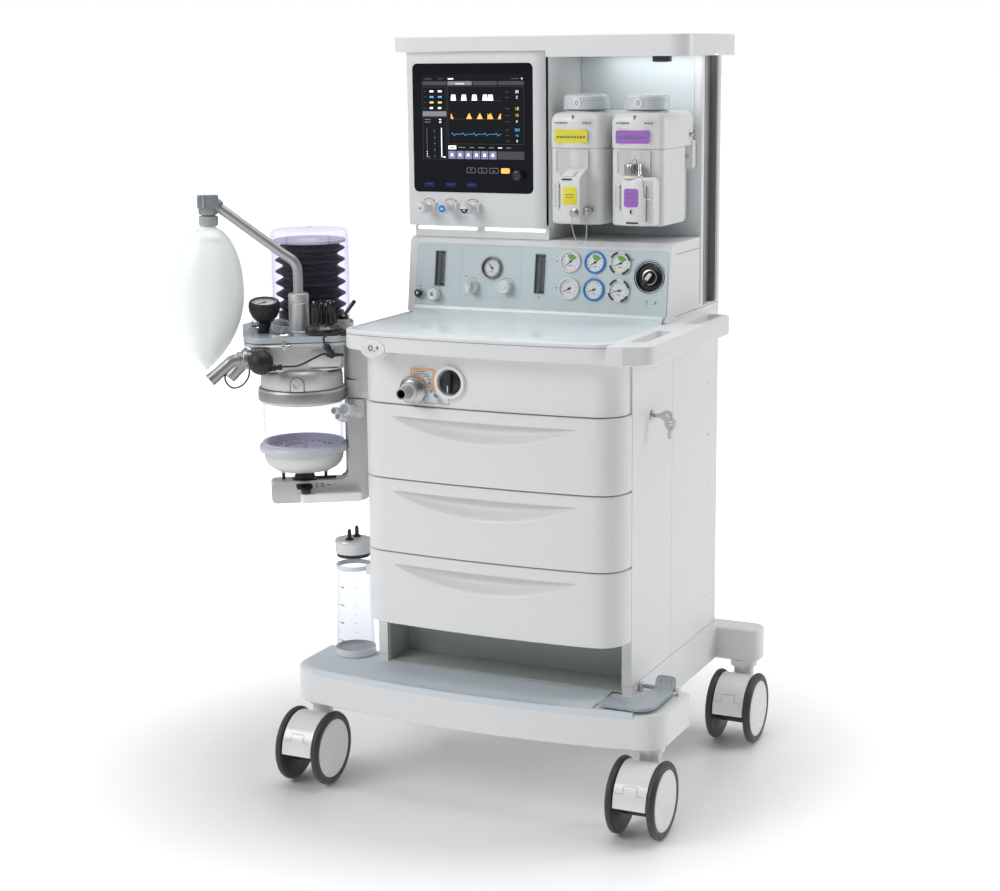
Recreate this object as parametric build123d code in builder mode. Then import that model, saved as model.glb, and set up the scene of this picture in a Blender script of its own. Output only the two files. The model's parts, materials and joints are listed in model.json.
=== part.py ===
from build123d import *
import math
import os

# ---------------------------------------------------------------- driving dimensions, mm
overall_height = 1365
machine_middle = (-90, -53)                # from the cabinet's own axes to the middle of the whole machine
body_left, body_right = -240, 280          # worktop and upper body width, seen from the front
drawer_left = -223                         # left side of the cabinet below the worktop
drawer_centre = (drawer_left + body_right) / 2
body_back = 222
gap = 0.4                                  # seam between fixed neighbours
run = 0.05                                 # radial running clearance of pins and spindles

base_bottom, base_top = 157, 222
deck_half, deck_back = 365, -165
deck_front_centre, deck_front_side = -345, -310
rear_arm_front, rear_arm_back = 235, 292
skirt_top = 239
deck_edge = 6                              # rounding of the deck's top edge

caster_x, caster_y = 328, 263              # swivel axes
wheel_radius, wheel_trail = 68.75, 40
wheel_inner, wheel_outer = 31, 45          # twin wheel faces, from the fork's middle
stem_radius, stem_top = 8, 198

cabinet_top = 826
panel_seam = (-31, -29.6)                  # upright joint line of the right side
panel_front = -230
drawer_seams = [322.4, 457.3, 592.4, 728]
front_centre, front_side, front_back = -306, -291, -232
front_corner = 54

worktop_top, worktop_back = 860, -57
handle_outer, handle_back = 346, 112
handle_joint = 275                         # where the handle's front corner meets the worktop

panel_lean = 8                             # gauge panel, degrees from upright
panel_plane = Plane(
    origin=(0, -50, 927.5),
    x_dir=(1, 0, 0),
    z_dir=(0, -math.cos(math.radians(panel_lean)), math.sin(math.radians(panel_lean))),
)
bay_floor, bay_back, bay_left = 1000, 110, 45
monitor_front, monitor_bottom, monitor_top = -50, 1022, 1337.5
shelf_bottom = 1327

gauge_spots = [(x, y) for y in (36.5, -12.5) for x in (88, 136, 185)]
small_gauge_spot = (-68, 19.5)
flow_knob_x, flow_knob_z = [-195, -150, -105], 1056
encoder_spot = (-10, 1117)
main_switch_spot = (241, 13.5)
panel_knob_spots = {"selector_knob": (-106, -17), "regulator_knob": (-37, -15)}
aux_knob_spot, aux_outlet_spot = (-182, -34), (-214, -33)
outlet_spot, outlet_switch_spot = (-103, 757), (-31, 775)
flush_spot = (-163.5, 831.5)

vaporiser_x, vaporiser_bottom, vaporiser_top = [101.5, 218.5], 1032, 1230
dial_y = -2

arm_angle, arm_pivot = 33, (-276, -195)    # breathing system on its swing arm
arm = Plane(
    origin=(arm_pivot[0], arm_pivot[1], 0),
    x_dir=(math.cos(math.radians(arm_angle)), math.sin(math.radians(arm_angle)), 0),
    z_dir=(0, 0, 1),
)
pivot_radius = 12
canister_spot = (-101, 0)
bellows_spot = (-76, 88)
socket_spot = (-102.7, -2)
apl_spot = (-60, -38)
manometer_spot = (-165, 2)
dome_spot = (-137, -46)
bag_valve_spot = (-22, 1)
block_top = 840

jar_spot, jar_bottom, jar_lid = (-287, -205), 231, 423
spindle = 3


# ---------------------------------------------------------------- shape helpers
def block(x, y, z, radius=0, mode=Mode.ADD, frame=Plane.XY):
    """Box between the given ranges, with rounded upright edges."""
    with BuildSketch(frame.offset(z[0])) as outline:
        with Locations(((x[0] + x[1]) / 2, (y[0] + y[1]) / 2)):
            if radius:
                RectangleRounded(x[1] - x[0], y[1] - y[0], radius)
            else:
                Rectangle(x[1] - x[0], y[1] - y[0])
    extrude(outline.sketch, amount=z[1] - z[0], mode=mode)


def rod(plane, spot, radius, low, high, mode=Mode.ADD):
    """Round bar about a plane's normal at a spot, between two heights."""
    with BuildSketch(plane.offset(low)) as circle:
        with Locations(spot):
            Circle(radius)
    extrude(circle.sketch, amount=high - low, mode=mode)


def turned(plane, spot, outline, mode=Mode.ADD):
    """Solid of revolution about a plane's normal; outline is (radius, height) points."""
    foot = plane.from_local_coords((spot[0], spot[1], 0))
    with BuildSketch(Plane(origin=foot, x_dir=plane.x_dir, z_dir=-plane.y_dir)) as half:
        with BuildLine():
            Polyline(*outline, close=True)
        make_face()
    revolve(half.sketch, axis=Axis(foot, plane.z_dir), mode=mode)


def bowed(left, right, centre, side, back, corner, low, high, mode=Mode.ADD):
    """Upright plate with a bowed front and rounded front corners."""
    middle = (left + right) / 2
    with BuildSketch(Plane.XY.offset(low)) as outline:
        with BuildLine():
            ThreePointArc((left, side), (middle, centre), (right, side))
            Line((right, side), (right, back))
            Line((right, back), (left, back))
            Line((left, back), (left, side))
        make_face()
        fillet(outline.vertices().group_by(Axis.Y)[0], corner)
    extrude(outline.sketch, amount=high - low, mode=mode)


def front_plane(y, x=0, z=0):
    """Plane facing the operator at depth y; local x runs right and local y up."""
    return Plane(origin=(x, y, z), x_dir=(1, 0, 0), z_dir=(0, -1, 0))


def knob_shape(plane, spot, radius, length, grip):
    """Plain round knob with a bevelled nose and a spindle into the panel."""
    nose = min(2, radius / 5)
    turned(
        plane,
        spot,
        [
            (0, -9),
            (spindle, -9),
            (spindle, 0.5),
            (radius, 0.5),
            (grip, length - nose),
            (grip - nose, length),
            (0, length),
        ],
    )


def keep(piece, name):
    """Writes a piece with the origin on the floor, under the middle of the whole machine."""
    placed = piece.part.moved(Location((-machine_middle[0], -machine_middle[1], 0)))
    placed.label = name
    export_step(placed, f"parts/{name}.step")


os.makedirs("parts", exist_ok=True)

# ---------------------------------------------------------------- base and casters
with BuildPart() as base_frame:
    bowed(-deck_half, deck_half, deck_front_centre, deck_front_side, deck_back, 50, base_bottom, base_top)
    block((drawer_left, body_right), (deck_back - 5, rear_arm_front + 5), (base_bottom, base_top))
    block((-deck_half, deck_half), (rear_arm_front, rear_arm_back), (base_bottom, base_top), 22)
    fillet(base_frame.faces().sort_by(Axis.Z)[-1].outer_wire().edges(), deck_edge)
    for skirt in ((drawer_left, drawer_left + 18), (body_right - 18, body_right)):
        block(skirt, (panel_front + 1, body_back), (base_bottom, skirt_top))
    block((drawer_left + 20, body_right - 20), (-140, 215), (base_bottom, 206), 10, mode=Mode.SUBTRACT)
    block((-285, 285), (-300, -180), (base_bottom, 206), 20, mode=Mode.SUBTRACT)
    block((-290, 290), (246, 282), (base_bottom, 206), 10, mode=Mode.SUBTRACT)
    for lug in ((282, 287), (350, 356)):
        block(lug, (-196, -184), (base_top, 237))
    rod(Plane.YZ.offset(281), (-190, 231), 2.5 + run, 0, 80, Mode.SUBTRACT)
    for x in (-caster_x, caster_x):
        for y in (-caster_y, caster_y):
            rod(Plane.XY, (x, y), stem_radius + run, base_bottom, stem_top + 2, Mode.SUBTRACT)
    chamfer(base_frame.faces().filter_by(Axis.Z).sort_by(Axis.Z)[0].outer_wire().edges(), 3)
keep(base_frame, "base_frame")

with BuildPart() as base_mat:
    bowed(-350, 350, deck_front_centre + 4, deck_front_side + 6, deck_back - 20, 40, base_top, base_top + 3)
    block((drawer_left - 1, drawer_left + 19), (panel_front, -150), (220, 240), mode=Mode.SUBTRACT)
    block((body_right - 19, body_right + 1), (panel_front, -150), (220, 240), mode=Mode.SUBTRACT)
    block((241, 360), (-324, -150), (220, 240), mode=Mode.SUBTRACT)
    block((330, 360), (-350, -150), (220, 240), mode=Mode.SUBTRACT)
keep(base_mat, "base_mat")

caster_ends = {"front_left": (-1, -1), "front_right": (1, -1), "rear_left": (-1, 1), "rear_right": (1, 1)}
for corner_name, (side_x, side_y) in caster_ends.items():
    swivel = (side_x * caster_x, side_y * caster_y)
    axle_y = swivel[1] - wheel_trail
    wheel_plane = Plane(origin=(swivel[0], axle_y, wheel_radius), x_dir=(0, 1, 0), z_dir=(1, 0, 0))

    with BuildPart() as fork:
        rod(wheel_plane, (0, 0), wheel_radius - 5, -wheel_inner + 1, wheel_inner - 1)
        block(
            (swivel[0] - 40, swivel[0] + 40),
            (axle_y - 80, axle_y + 80),
            (-10, wheel_radius - 1),
            mode=Mode.SUBTRACT,
        )
        rod(wheel_plane, (0, 0), 30, -wheel_inner + 1, wheel_inner - 1)
        rod(Plane.XY, swivel, 19, 100, base_bottom - 9)
        rod(Plane.XY, swivel, 26, base_bottom - 14, base_bottom - 1)
        rod(Plane.XY, swivel, stem_radius, base_bottom - 9, stem_top)
        rod(wheel_plane, (0, 0), 6 + run, -50, 50, Mode.SUBTRACT)
    keep(fork, f"caster_fork_{corner_name}")

    with BuildPart() as wheels:
        for face in (-1, 1):
            rim = [
                (0, wheel_inner),
                (wheel_radius - 3, wheel_inner),
                (wheel_radius, wheel_inner + 5),
                (wheel_radius, wheel_outer - 7),
                (wheel_radius - 9, wheel_outer - 1.5),
                (wheel_radius - 15, wheel_outer - 1.5),
                (wheel_radius - 16, wheel_outer),
                (0, wheel_outer),
            ]
            turned(wheel_plane, (0, 0), [(r, face * h) for r, h in rim])
        rod(wheel_plane, (0, 0), 6, -wheel_outer + 1, wheel_outer - 1)
    keep(wheels, f"caster_wheels_{corner_name}")

with BuildPart() as brake_pedal:
    block((251, 348), (-318, -262), (228.5, 233.5), 10)
    block((289, 348), (-318, -192), (228.5, 233.5), 12)
    rod(Plane.YZ.offset(289), (-190, 231), 4, 0, 59)
    rod(Plane.YZ.offset(283), (-190, 231), 2.5, 0, 72)
keep(brake_pedal, "brake_pedal")

# ---------------------------------------------------------------- cabinet
inner_left, inner_right = drawer_left + 18 + gap, body_right - 18 - gap
slide_width, sheet = 10, 2.5
with BuildPart() as carcass:
    block((inner_left, inner_right), (-226, 215), (base_top + 3 + gap, cabinet_top - gap))
    block((inner_left + sheet, inner_right - sheet), (-230, 212.5), (324, 823), mode=Mode.SUBTRACT)
    block((inner_left + sheet, inner_right - sheet), (-230, -150), (228, 321), mode=Mode.SUBTRACT)
    block((inner_left + sheet, inner_right - sheet), (-147.5, 212.5), (228, 321), mode=Mode.SUBTRACT)
    for seam in drawer_seams[:3]:
        for rail in (
            (inner_left + sheet, inner_left + sheet + slide_width),
            (inner_right - sheet - slide_width, inner_right - sheet),
        ):
            block(rail, (-220, 212.5), (seam + 45, seam + 75))
keep(carcass, "carcass")

with BuildPart() as side_panel_left:
    block((drawer_left, drawer_left + 18), (panel_front, body_back), (skirt_top + 1, cabinet_top - gap))
    block((drawer_left + 3, drawer_left + 19), (-226, 218), (244, 821), mode=Mode.SUBTRACT)
keep(side_panel_left, "side_panel_left")

with BuildPart() as side_panel_right:
    block((body_right - 18, body_right), (panel_front, body_back), (skirt_top + 1, cabinet_top - gap))
    block((body_right - 19, body_right - 3), (-226, 218), (244, 821), mode=Mode.SUBTRACT)
    rod(Plane.YZ.offset(250), (-136, 710), 7 + run, 0, 40, Mode.SUBTRACT)
    block((body_right - 1, body_right + 1), panel_seam, (skirt_top, cabinet_top), mode=Mode.SUBTRACT)
keep(side_panel_right, "side_panel_right")

with BuildPart() as rear_cover:
    block((drawer_left + 2, body_right - 2), (body_back + gap, body_back + 4), (skirt_top + 6, 1322))
    with BuildSketch(front_plane(body_back + 5)) as louvres:
        for height in (420, 1180):
            with Locations((drawer_centre, height)):
                with GridLocations(0, 14, 1, 8):
                    SlotOverall(220, 6)
    extrude(louvres.sketch, amount=6, mode=Mode.SUBTRACT)
keep(rear_cover, "rear_cover")

drawer_inner = (inner_left + sheet + slide_width + 1, inner_right - sheet - slide_width - 1)
for name, low, high in zip(
    ("drawer_bottom", "drawer_middle", "drawer_top"), drawer_seams[:3], drawer_seams[1:]
):
    bottom, top = low + 1.1, high - 1.1
    with BuildPart() as drawer:
        bowed(drawer_left, body_right, front_centre, front_side, front_back, front_corner, bottom, top)
        block(
            (drawer_left + 14, body_right - 14),
            (-278, front_back - 3),
            (bottom + 3, top - 3),
            14,
            mode=Mode.SUBTRACT,
        )
        with BuildSketch(front_plane(front_centre - 4)) as scoop:
            with BuildLine():
                Line((drawer_centre - 175, top - 22), (drawer_centre + 175, top - 22))
                ThreePointArc(
                    (drawer_centre + 175, top - 22),
                    (drawer_centre, top - 50),
                    (drawer_centre - 175, top - 22),
                )
            make_face()
        extrude(scoop.sketch, amount=-24, mode=Mode.SUBTRACT)
        fillet(drawer.faces().sort_by(Axis.Z)[-1].edges().group_by(Axis.Y)[0], 2)
        block(drawer_inner, (front_back, 185), (bottom + 12, bottom + 108))
        block(
            (drawer_inner[0] + 2, drawer_inner[1] - 2),
            (front_back + 2, 183),
            (bottom + 14, bottom + 109),
            mode=Mode.SUBTRACT,
        )
    keep(drawer, name)

with BuildPart() as front_panel:
    bowed(
        drawer_left + 3,
        body_right - 3,
        front_centre + 4,
        front_side + 4,
        front_back,
        front_corner - 4,
        drawer_seams[3] + 1.1,
        cabinet_top - 1,
    )
    block((drawer_left + 46, body_right - 46), (-286, front_back + 1), (733, 821), 12, mode=Mode.SUBTRACT)
    rod(front_plane(-290), outlet_switch_spot, 29, 0, 17)
    rod(front_plane(-318), outlet_spot, 12, 0, -60, Mode.SUBTRACT)
    rod(front_plane(-318), outlet_switch_spot, 23, 0, -20, Mode.SUBTRACT)
    rod(front_plane(-318), outlet_switch_spot, spindle + run, 0, -60, Mode.SUBTRACT)
keep(front_panel, "front_panel")

with BuildPart() as fresh_gas_outlet:
    turned(
        front_plane(-304),
        outlet_spot,
        [(5, -22), (11.5, -22), (11.5, 0), (25, 0), (25, 4), (20, 8), (16, 9), (16, 20), (13, 22),
         (11, 24), (11, 46), (7.5, 46), (5, 20)],
    )
keep(fresh_gas_outlet, "fresh_gas_outlet")

with BuildPart() as outlet_switch_knob:
    knob_shape(front_plane(-298.5), outlet_switch_spot, 20, 6, 19)
    block((-36, -26), (-312, -304), (758, 792), 2)
keep(outlet_switch_knob, "outlet_switch_knob")

with BuildPart() as key:
    key_plane = Plane(origin=(body_right, -136, 710), x_dir=(0, 1, 0), z_dir=(1, 0, 0))
    rod(key_plane, (0, 0), 7, -5, 3)
    rod(key_plane, (0, 0), 9, gap, 3)
    block((body_right + 2, body_right + 18), (-137.2, -134.8), (706, 714))
    with BuildSketch(front_plane(-134.8)) as bow:
        with Locations((body_right + 26, 710)):
            Circle(11)
            Circle(4, mode=Mode.SUBTRACT)
    extrude(bow.sketch, amount=2.4)
keep(key, "key")

with BuildPart() as ventilator_module:
    block((-150, 190), (-20, 190), (232, 312), 6)
keep(ventilator_module, "ventilator_module")

with BuildPart() as suction_jar:
    turned(
        Plane.XY,
        jar_spot,
        [(0, jar_bottom), (32, jar_bottom), (37, jar_bottom + 7), (30, jar_lid), (34, jar_lid),
         (34, jar_lid + 22), (31, jar_lid + 25), (0, jar_lid + 25)],
    )
    for offset_y in (-14, 14):
        rod(Plane.XY, (jar_spot[0], jar_spot[1] + offset_y), 4, jar_lid + 20, jar_lid + 46)
    block((jar_spot[0] + 20, drawer_left - gap), (-222, -188), (jar_lid - 22, jar_lid + 8))
keep(suction_jar, "suction_jar")

# ---------------------------------------------------------------- worktop with push handle
with BuildPart() as worktop:
    bowed(body_left, body_right, -343, -322, body_back, 46, cabinet_top, worktop_top)
    with BuildSketch(Plane.XY.offset(cabinet_top)) as grip:
        with BuildLine():
            Polyline(
                (handle_joint, -339), (302, -336), (handle_outer, -312), (handle_outer, handle_back),
                (body_right - 10, handle_back), (body_right - 10, -100), (handle_joint, -100),
                close=True,
            )
        make_face()
        fillet(grip.vertices().sort_by(Axis.X)[-2:], 30)
    extrude(grip.sketch, amount=worktop_top - cabinet_top)
    fillet(worktop.faces().sort_by(Axis.Z)[-1].outer_wire().edges().group_by(Axis.Y)[:-1], 3)
    block((292, 321), (-278, -140), (820, 870), 10, mode=Mode.SUBTRACT)
    block((303, 331), (-40, 96), (820, 870), 10, mode=Mode.SUBTRACT)
    block((handle_joint - 1.4, handle_joint), (-345, -328), (820, 870), mode=Mode.SUBTRACT)
    bowed(body_left + 9, body_right - 9, -332, -311, worktop_back, 38, 857, 861, Mode.SUBTRACT)
    chamfer(worktop.faces().sort_by(Axis.Z)[0].outer_wire().edges(), 2)
    with BuildSketch(front_plane(-300)) as boss:
        with Locations(flush_spot):
            Ellipse(27, 18.5)
    extrude(boss.sketch, amount=33)
    with BuildSketch(front_plane(-340)) as boss_hole:
        with Locations(flush_spot):
            Ellipse(23 + run, 15 + run)
    extrude(boss_hole.sketch, amount=-24, mode=Mode.SUBTRACT)
keep(worktop, "worktop")

with BuildPart() as oxygen_flush_button:
    with BuildSketch(front_plane(-323)) as oval:
        with Locations(flush_spot):
            Ellipse(23, 15)
    extrude(oval.sketch, amount=14)
    fillet(oxygen_flush_button.faces().sort_by(Axis.Y)[0].edges(), 2.5)
keep(oxygen_flush_button, "oxygen_flush_button")

# ---------------------------------------------------------------- upper body
with BuildPart() as upper_body:
    with BuildSketch(Plane.YZ.offset(body_left)) as side_view:
        with BuildLine():
            Polyline(
                (body_back, worktop_top), (-39.6, worktop_top), (-57.5, 861), (-40.5, 991),
                (-30, bay_floor), (body_back, bay_floor), close=True,
            )
        make_face()
    extrude(side_view.sketch, amount=body_right - body_left)
    block((body_left, body_right), (bay_back, body_back), (bay_floor, shelf_bottom - gap))
    block((body_left + 8, bay_left - 4), (-34, bay_back), (bay_floor, monitor_bottom - gap))
    block((body_left + 4, 262), (-20, body_back + 1), (worktop_top + 4, bay_floor - 5), mode=Mode.SUBTRACT)
    block((body_left + 4, 262), (bay_back + 5, body_back + 1), (bay_floor - 6, 1322), mode=Mode.SUBTRACT)
    block((268, 281), (129, 201), (872, shelf_bottom), mode=Mode.SUBTRACT)
    block((-225.3, 276.3), (-60.3, 60.3), (-4, 8), 8, mode=Mode.SUBTRACT, frame=panel_plane)
    for spot in gauge_spots + [small_gauge_spot]:
        rod(panel_plane, spot, 17 + gap, -40, 0, Mode.SUBTRACT)
    rod(panel_plane, main_switch_spot, 27, -14, 0, Mode.SUBTRACT)
    for spot in [main_switch_spot, aux_knob_spot, *panel_knob_spots.values()]:
        rod(panel_plane, spot, spindle + run, -24, 0, Mode.SUBTRACT)
keep(upper_body, "upper_body")

with BuildPart() as gauge_panel:
    block((-225, 276), (-60, 60), (-4 + gap, 0), 8, frame=panel_plane)
    for spot in gauge_spots + [small_gauge_spot]:
        rod(panel_plane, spot, 17 + gap, -5, 1, Mode.SUBTRACT)
    rod(panel_plane, main_switch_spot, 26, -5, 1, Mode.SUBTRACT)
    for spot in [aux_knob_spot, *panel_knob_spots.values()]:
        rod(panel_plane, spot, spindle + run, -5, 1, Mode.SUBTRACT)
    for window in ((-186, -164), (17, 40)):
        block(window, (-19 if window[0] < 0 else -25, 48), (-5, 1), 2, mode=Mode.SUBTRACT, frame=panel_plane)
    rod(panel_plane, aux_outlet_spot, 9, 0, 6)
    rod(panel_plane, aux_outlet_spot, 6, 0, 14)
keep(gauge_panel, "gauge_panel")

with BuildPart() as pressure_gauges:
    for spot in gauge_spots + [small_gauge_spot]:
        turned(
            panel_plane,
            spot,
            [(0, -24), (17, -24), (17, gap), (20.5, gap), (20.5, 3), (19, 4), (17.5, 4), (17, 2.4), (0, 2.4)],
        )
keep(pressure_gauges, "pressure_gauges")

for name, spot in panel_knob_spots.items():
    with BuildPart() as knob:
        knob_shape(panel_plane, spot, 12.5, 17, 11.5)
        if name == "selector_knob":
            block((spot[0] - 3.5, spot[0] + 3.5), (spot[1] - 11, spot[1] + 11), (12, 22), frame=panel_plane)
    keep(knob, name)

with BuildPart() as aux_flow_knob:
    knob_shape(panel_plane, aux_knob_spot, 11.5, 16, 10.5)
keep(aux_flow_knob, "aux_flow_knob")

with BuildPart() as main_switch_knob:
    main_plane = panel_plane.offset(-9)
    knob_shape(main_plane, main_switch_spot, 14, 9, 13)
    block(
        (main_switch_spot[0] - 5, main_switch_spot[0] + 5),
        (main_switch_spot[1] - 18, main_switch_spot[1] + 13),
        (6, 19),
        3,
        frame=main_plane,
    )
keep(main_switch_knob, "main_switch_knob")

with BuildPart() as monitor_housing:
    block((body_left, bay_left), (monitor_front, bay_back - gap), (monitor_bottom, monitor_top))
    fillet(monitor_housing.edges().filter_by(Axis.Z).group_by(Axis.Y)[0].sort_by(Axis.X)[-1], 30)
    fillet(monitor_housing.edges().filter_by(Axis.Z).group_by(Axis.Y)[0].sort_by(Axis.X)[0], 8)
    block((body_left + 4, bay_left - 4), (-40, bay_back), (1026, 1333.5), 6, mode=Mode.SUBTRACT)
    block((-225.3, 17.3), (1083.7, 1317.3), (-1, 4.5), 10, mode=Mode.SUBTRACT, frame=front_plane(-45.5))
    for x in flow_knob_x:
        rod(front_plane(-52), (x, flow_knob_z), spindle + run, 0, -20, Mode.SUBTRACT)
    rod(front_plane(-52), encoder_spot, spindle + run, 0, -20, Mode.SUBTRACT)
keep(monitor_housing, "monitor_housing")

with BuildPart() as monitor_display:
    block((-225, 17), (1084, 1317), (0, 4.5), 9.7, frame=front_plane(-46))
    rod(front_plane(-52), encoder_spot, spindle + run, 0, -20, Mode.SUBTRACT)
keep(monitor_display, "monitor_display")

for index, x in enumerate(flow_knob_x):
    with BuildPart() as flow_knob:
        turned(
            front_plane(monitor_front),
            (x, flow_knob_z),
            [(0, -9), (spindle, -9), (spindle, 0.5), (9, 0.5), (9, 4), (6, 8), (6, 16), (9, 18),
             (10, 20), (10, 35), (8.5, 37), (0, 37)],
        )
    keep(flow_knob, f"flow_knob_{index + 1}")

with BuildPart() as encoder_knob:
    knob_shape(front_plane(-50.5), encoder_spot, 9.5, 13, 8.5)
keep(encoder_knob, "encoder_knob")

with BuildPart() as accessory_rail:
    block((268 + gap, body_right + 1), (129 + gap, 201 - gap), (872 + gap, shelf_bottom - 1))
    block((271, body_right + 2), (136, 194), (860, 1340), mode=Mode.SUBTRACT)
    block((268.8, 275), (133, 197), (860, 1340), mode=Mode.SUBTRACT)
keep(accessory_rail, "accessory_rail")

with BuildPart() as top_shelf:
    block((-268, 313), (-60, 225), (shelf_bottom, overall_height), 34)
    block((-270, bay_left + 2), (-62, bay_back + 1), (shelf_bottom - 1, 1338), mode=Mode.SUBTRACT)
    block((-260, 305), (-52, 217), (1362, 1366), 27, mode=Mode.SUBTRACT)
    fillet(top_shelf.faces().sort_by(Axis.Z)[-1].outer_wire().edges(), 2)
keep(top_shelf, "top_shelf")

# ---------------------------------------------------------------- vaporisers
for name, x in zip(("left", "right"), vaporiser_x):
    with BuildPart() as vaporiser:
        bowed(x - 49.5, x + 49.5, -60, -53, bay_back - 6, 14, vaporiser_bottom, 1168)
        for side in (-1, 1):
            flank = sorted((x + side * 40, x + side * 60))
            block(tuple(flank), (58, 120), (1030, 1167), mode=Mode.SUBTRACT)
        bowed(x - 50.5, x + 50.5, -63, -55, bay_back - 6, 16, 1167, vaporiser_top)
        fillet(vaporiser.faces().sort_by(Axis.Z)[-1].outer_wire().edges(), 10)
        rod(Plane.XY, (x, dial_y), 34, vaporiser_top - 2, vaporiser_top + 4)
        rod(Plane.XY, (x, dial_y), spindle + run, vaporiser_top - 20, vaporiser_top + 8, Mode.SUBTRACT)
        block((x - 33, x + 25), (1126, 1162), (-70, -56), 2, mode=Mode.SUBTRACT, frame=Plane.XZ)
        if name == "left":
            block((x - 12, x + 26), (-96, -50), (1036, 1120), 3)
        else:
            block((x - 20, x + 43), (-92, -50), (1036, 1119), 14)
            rod(Plane.XY, (x + 1, -74), 15, 1118, 1143)
        block((x - 26, x + 26), (bay_back - 7, bay_back - gap), (1120, 1165))
    keep(vaporiser, f"vaporiser_{name}")

    with BuildPart() as dial:
        turned(
            Plane.XY,
            (x, dial_y),
            [(0, 1216), (spindle, 1216), (spindle, 1234.5), (41, 1234.5), (42, 1237), (40.5, 1256),
             (34, 1261), (0, 1263)],
        )
        rod(Plane(origin=(x, dial_y - 39, 1247), x_dir=(1, 0, 0), z_dir=(0, -1, 0)), (0, 0), 9, -4, 5)
    keep(dial, f"vaporiser_dial_{name}")

# ---------------------------------------------------------------- breathing system on its swing arm
with BuildPart() as pivot_cover:
    block((arm_pivot[0], drawer_left - gap), (-213, -177), (717, 820))
    rod(Plane.XY, arm_pivot, 18, 717, 820)
    rod(Plane.XY, arm_pivot, 20, 734, 750)
    rod(Plane.XY, arm_pivot, pivot_radius, 600, 720)
keep(pivot_cover, "pivot_cover")

with BuildPart() as swing_bracket:
    block((-20, 18), (-20, 20), (525, 715.5), 6, frame=arm)
    block((-163, 18), (-26, 26), (525, 566), 6, frame=arm)
    block((-22, 12), (22, 40), (545, 821.5), 4, frame=arm)
    block((-20, 10), (10, 30), (525, 600), 4, frame=arm)
    block((-116, -86), (-58, -20), (551, 565), 8, frame=arm)
    rod(arm, (-101, -44), 4, 532, 552)
    rod(arm, (0, 0), pivot_radius + run, 598, 720, Mode.SUBTRACT)
    for leg in ((-140, 0), (-62, 0)):
        rod(arm, leg, 3 + run, 500, 600, Mode.SUBTRACT)
keep(swing_bracket, "swing_bracket")

with BuildPart() as canister_lever:
    rod(arm, (-101, -44), 9.5, 530, 547)
    block((-104, 2), (-51, -38), (531, 546), 6, frame=arm)
    rod(arm, (-101, -44), 4 + run, 500, 560, Mode.SUBTRACT)
keep(canister_lever, "canister_lever")

with BuildPart() as canister_base:
    turned(
        arm,
        canister_spot,
        [(0, 584), (40, 584), (62, 591), (71, 603), (73, 617), (79, 620), (80, 627), (79, 634), (73, 636.6),
         (0, 636.6)],
    )
    for leg in ((-140, 0), (-62, 0)):
        rod(arm, leg, 3, 545, 597)
keep(canister_base, "canister_base")

with BuildPart() as absorber_canister:
    turned(arm, canister_spot, [(0, 637), (75, 637), (75, 713.5), (72, 713.5), (72, 641), (0, 641)])
keep(absorber_canister, "absorber_canister")

port_root = arm.from_local_coords((-198, -50, 800))
port_tip = arm.from_local_coords((-268, -58, 764))
port_plane = Plane(origin=port_root, z_dir=(port_tip - port_root).normalized())
back_root = arm.from_local_coords((-198, -18, 800))
back_tip = arm.from_local_coords((-232, -20, 762))
back_plane = Plane(origin=back_root, z_dir=(back_tip - back_root).normalized())
with BuildPart() as manifold_block:
    block((-205, -8), (-70, 150), (822, block_top), 38, frame=arm)
    block((-192, -26), (-58, 136), (776, 823), 30, frame=arm)
    turned(arm, canister_spot, [(0, 714), (78, 714), (80, 717), (80, 738), (75, 741), (75, 765), (68, 777), (0, 777)])
    rod(arm, canister_spot, 72, 713, 717, Mode.SUBTRACT)
    turned(arm, bellows_spot, [(0, 839), (76, 839), (76, 846.6), (61, 846.6), (60, 867), (0, 867)])
    rod(arm, socket_spot, 18.5, 839, 912)
    rod(arm, socket_spot, 9 + run, 862, 920, Mode.SUBTRACT)
    block((-36, -8), (-12, 14), (839, 861), 3, frame=arm)
    rod(port_plane, (0, 0), 15, -10, 28)
    rod(port_plane, (0, 0), 11, 20, 78)
    rod(back_plane, (0, 0), 15, -10, 22)
    rod(back_plane, (0, 0), 11, 20, 50)
    rod(arm, apl_spot, 5 + run, 826, 850, Mode.SUBTRACT)
    rod(arm, bag_valve_spot, spindle + run, 848, 870, Mode.SUBTRACT)
keep(manifold_block, "manifold_block")

with BuildPart() as bellows_housing:
    turned(
        arm,
        bellows_spot,
        [(0, 1021), (70, 1021), (74, 1017), (74, 847), (71, 847), (71, 1015), (68, 1018), (0, 1018)],
    )
keep(bellows_housing, "bellows_housing")

with BuildPart() as bellows:
    rod(arm, bellows_spot, 65, 868, 994)
keep(bellows, "bellows")

with BuildPart() as bellows_disc:
    turned(arm, bellows_spot, [(0, 995), (66, 995), (67, 998), (64, 1003), (0, 1004)])
keep(bellows_disc, "bellows_disc")

with BuildPart() as manometer:
    turned(
        arm,
        manometer_spot,
        [(0, 840.4), (12, 840.4), (12, 848), (20, 852), (27, 868), (28, 884), (26, 897), (23, 899), (0, 899)],
    )
keep(manometer, "manometer")

with BuildPart() as valve_domes:
    for spot in (dome_spot, (-178, 56)):
        radius = 21 if spot == dome_spot else 13
        turned(
            arm,
            spot,
            [(0, 840.4), (radius, 840.4), (radius, 850), (radius - 3, 862), (radius - 8, 869), (0, 872)],
        )
keep(valve_domes, "valve_domes")

with BuildPart() as apl_knob:
    turned(
        arm,
        apl_spot,
        [(0, 828), (5, 828), (5, 840.5), (33, 840.5), (34, 844), (33, 852), (23, 857), (21, 896), (18, 899), (0, 899)],
    )
keep(apl_knob, "apl_knob")

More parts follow.
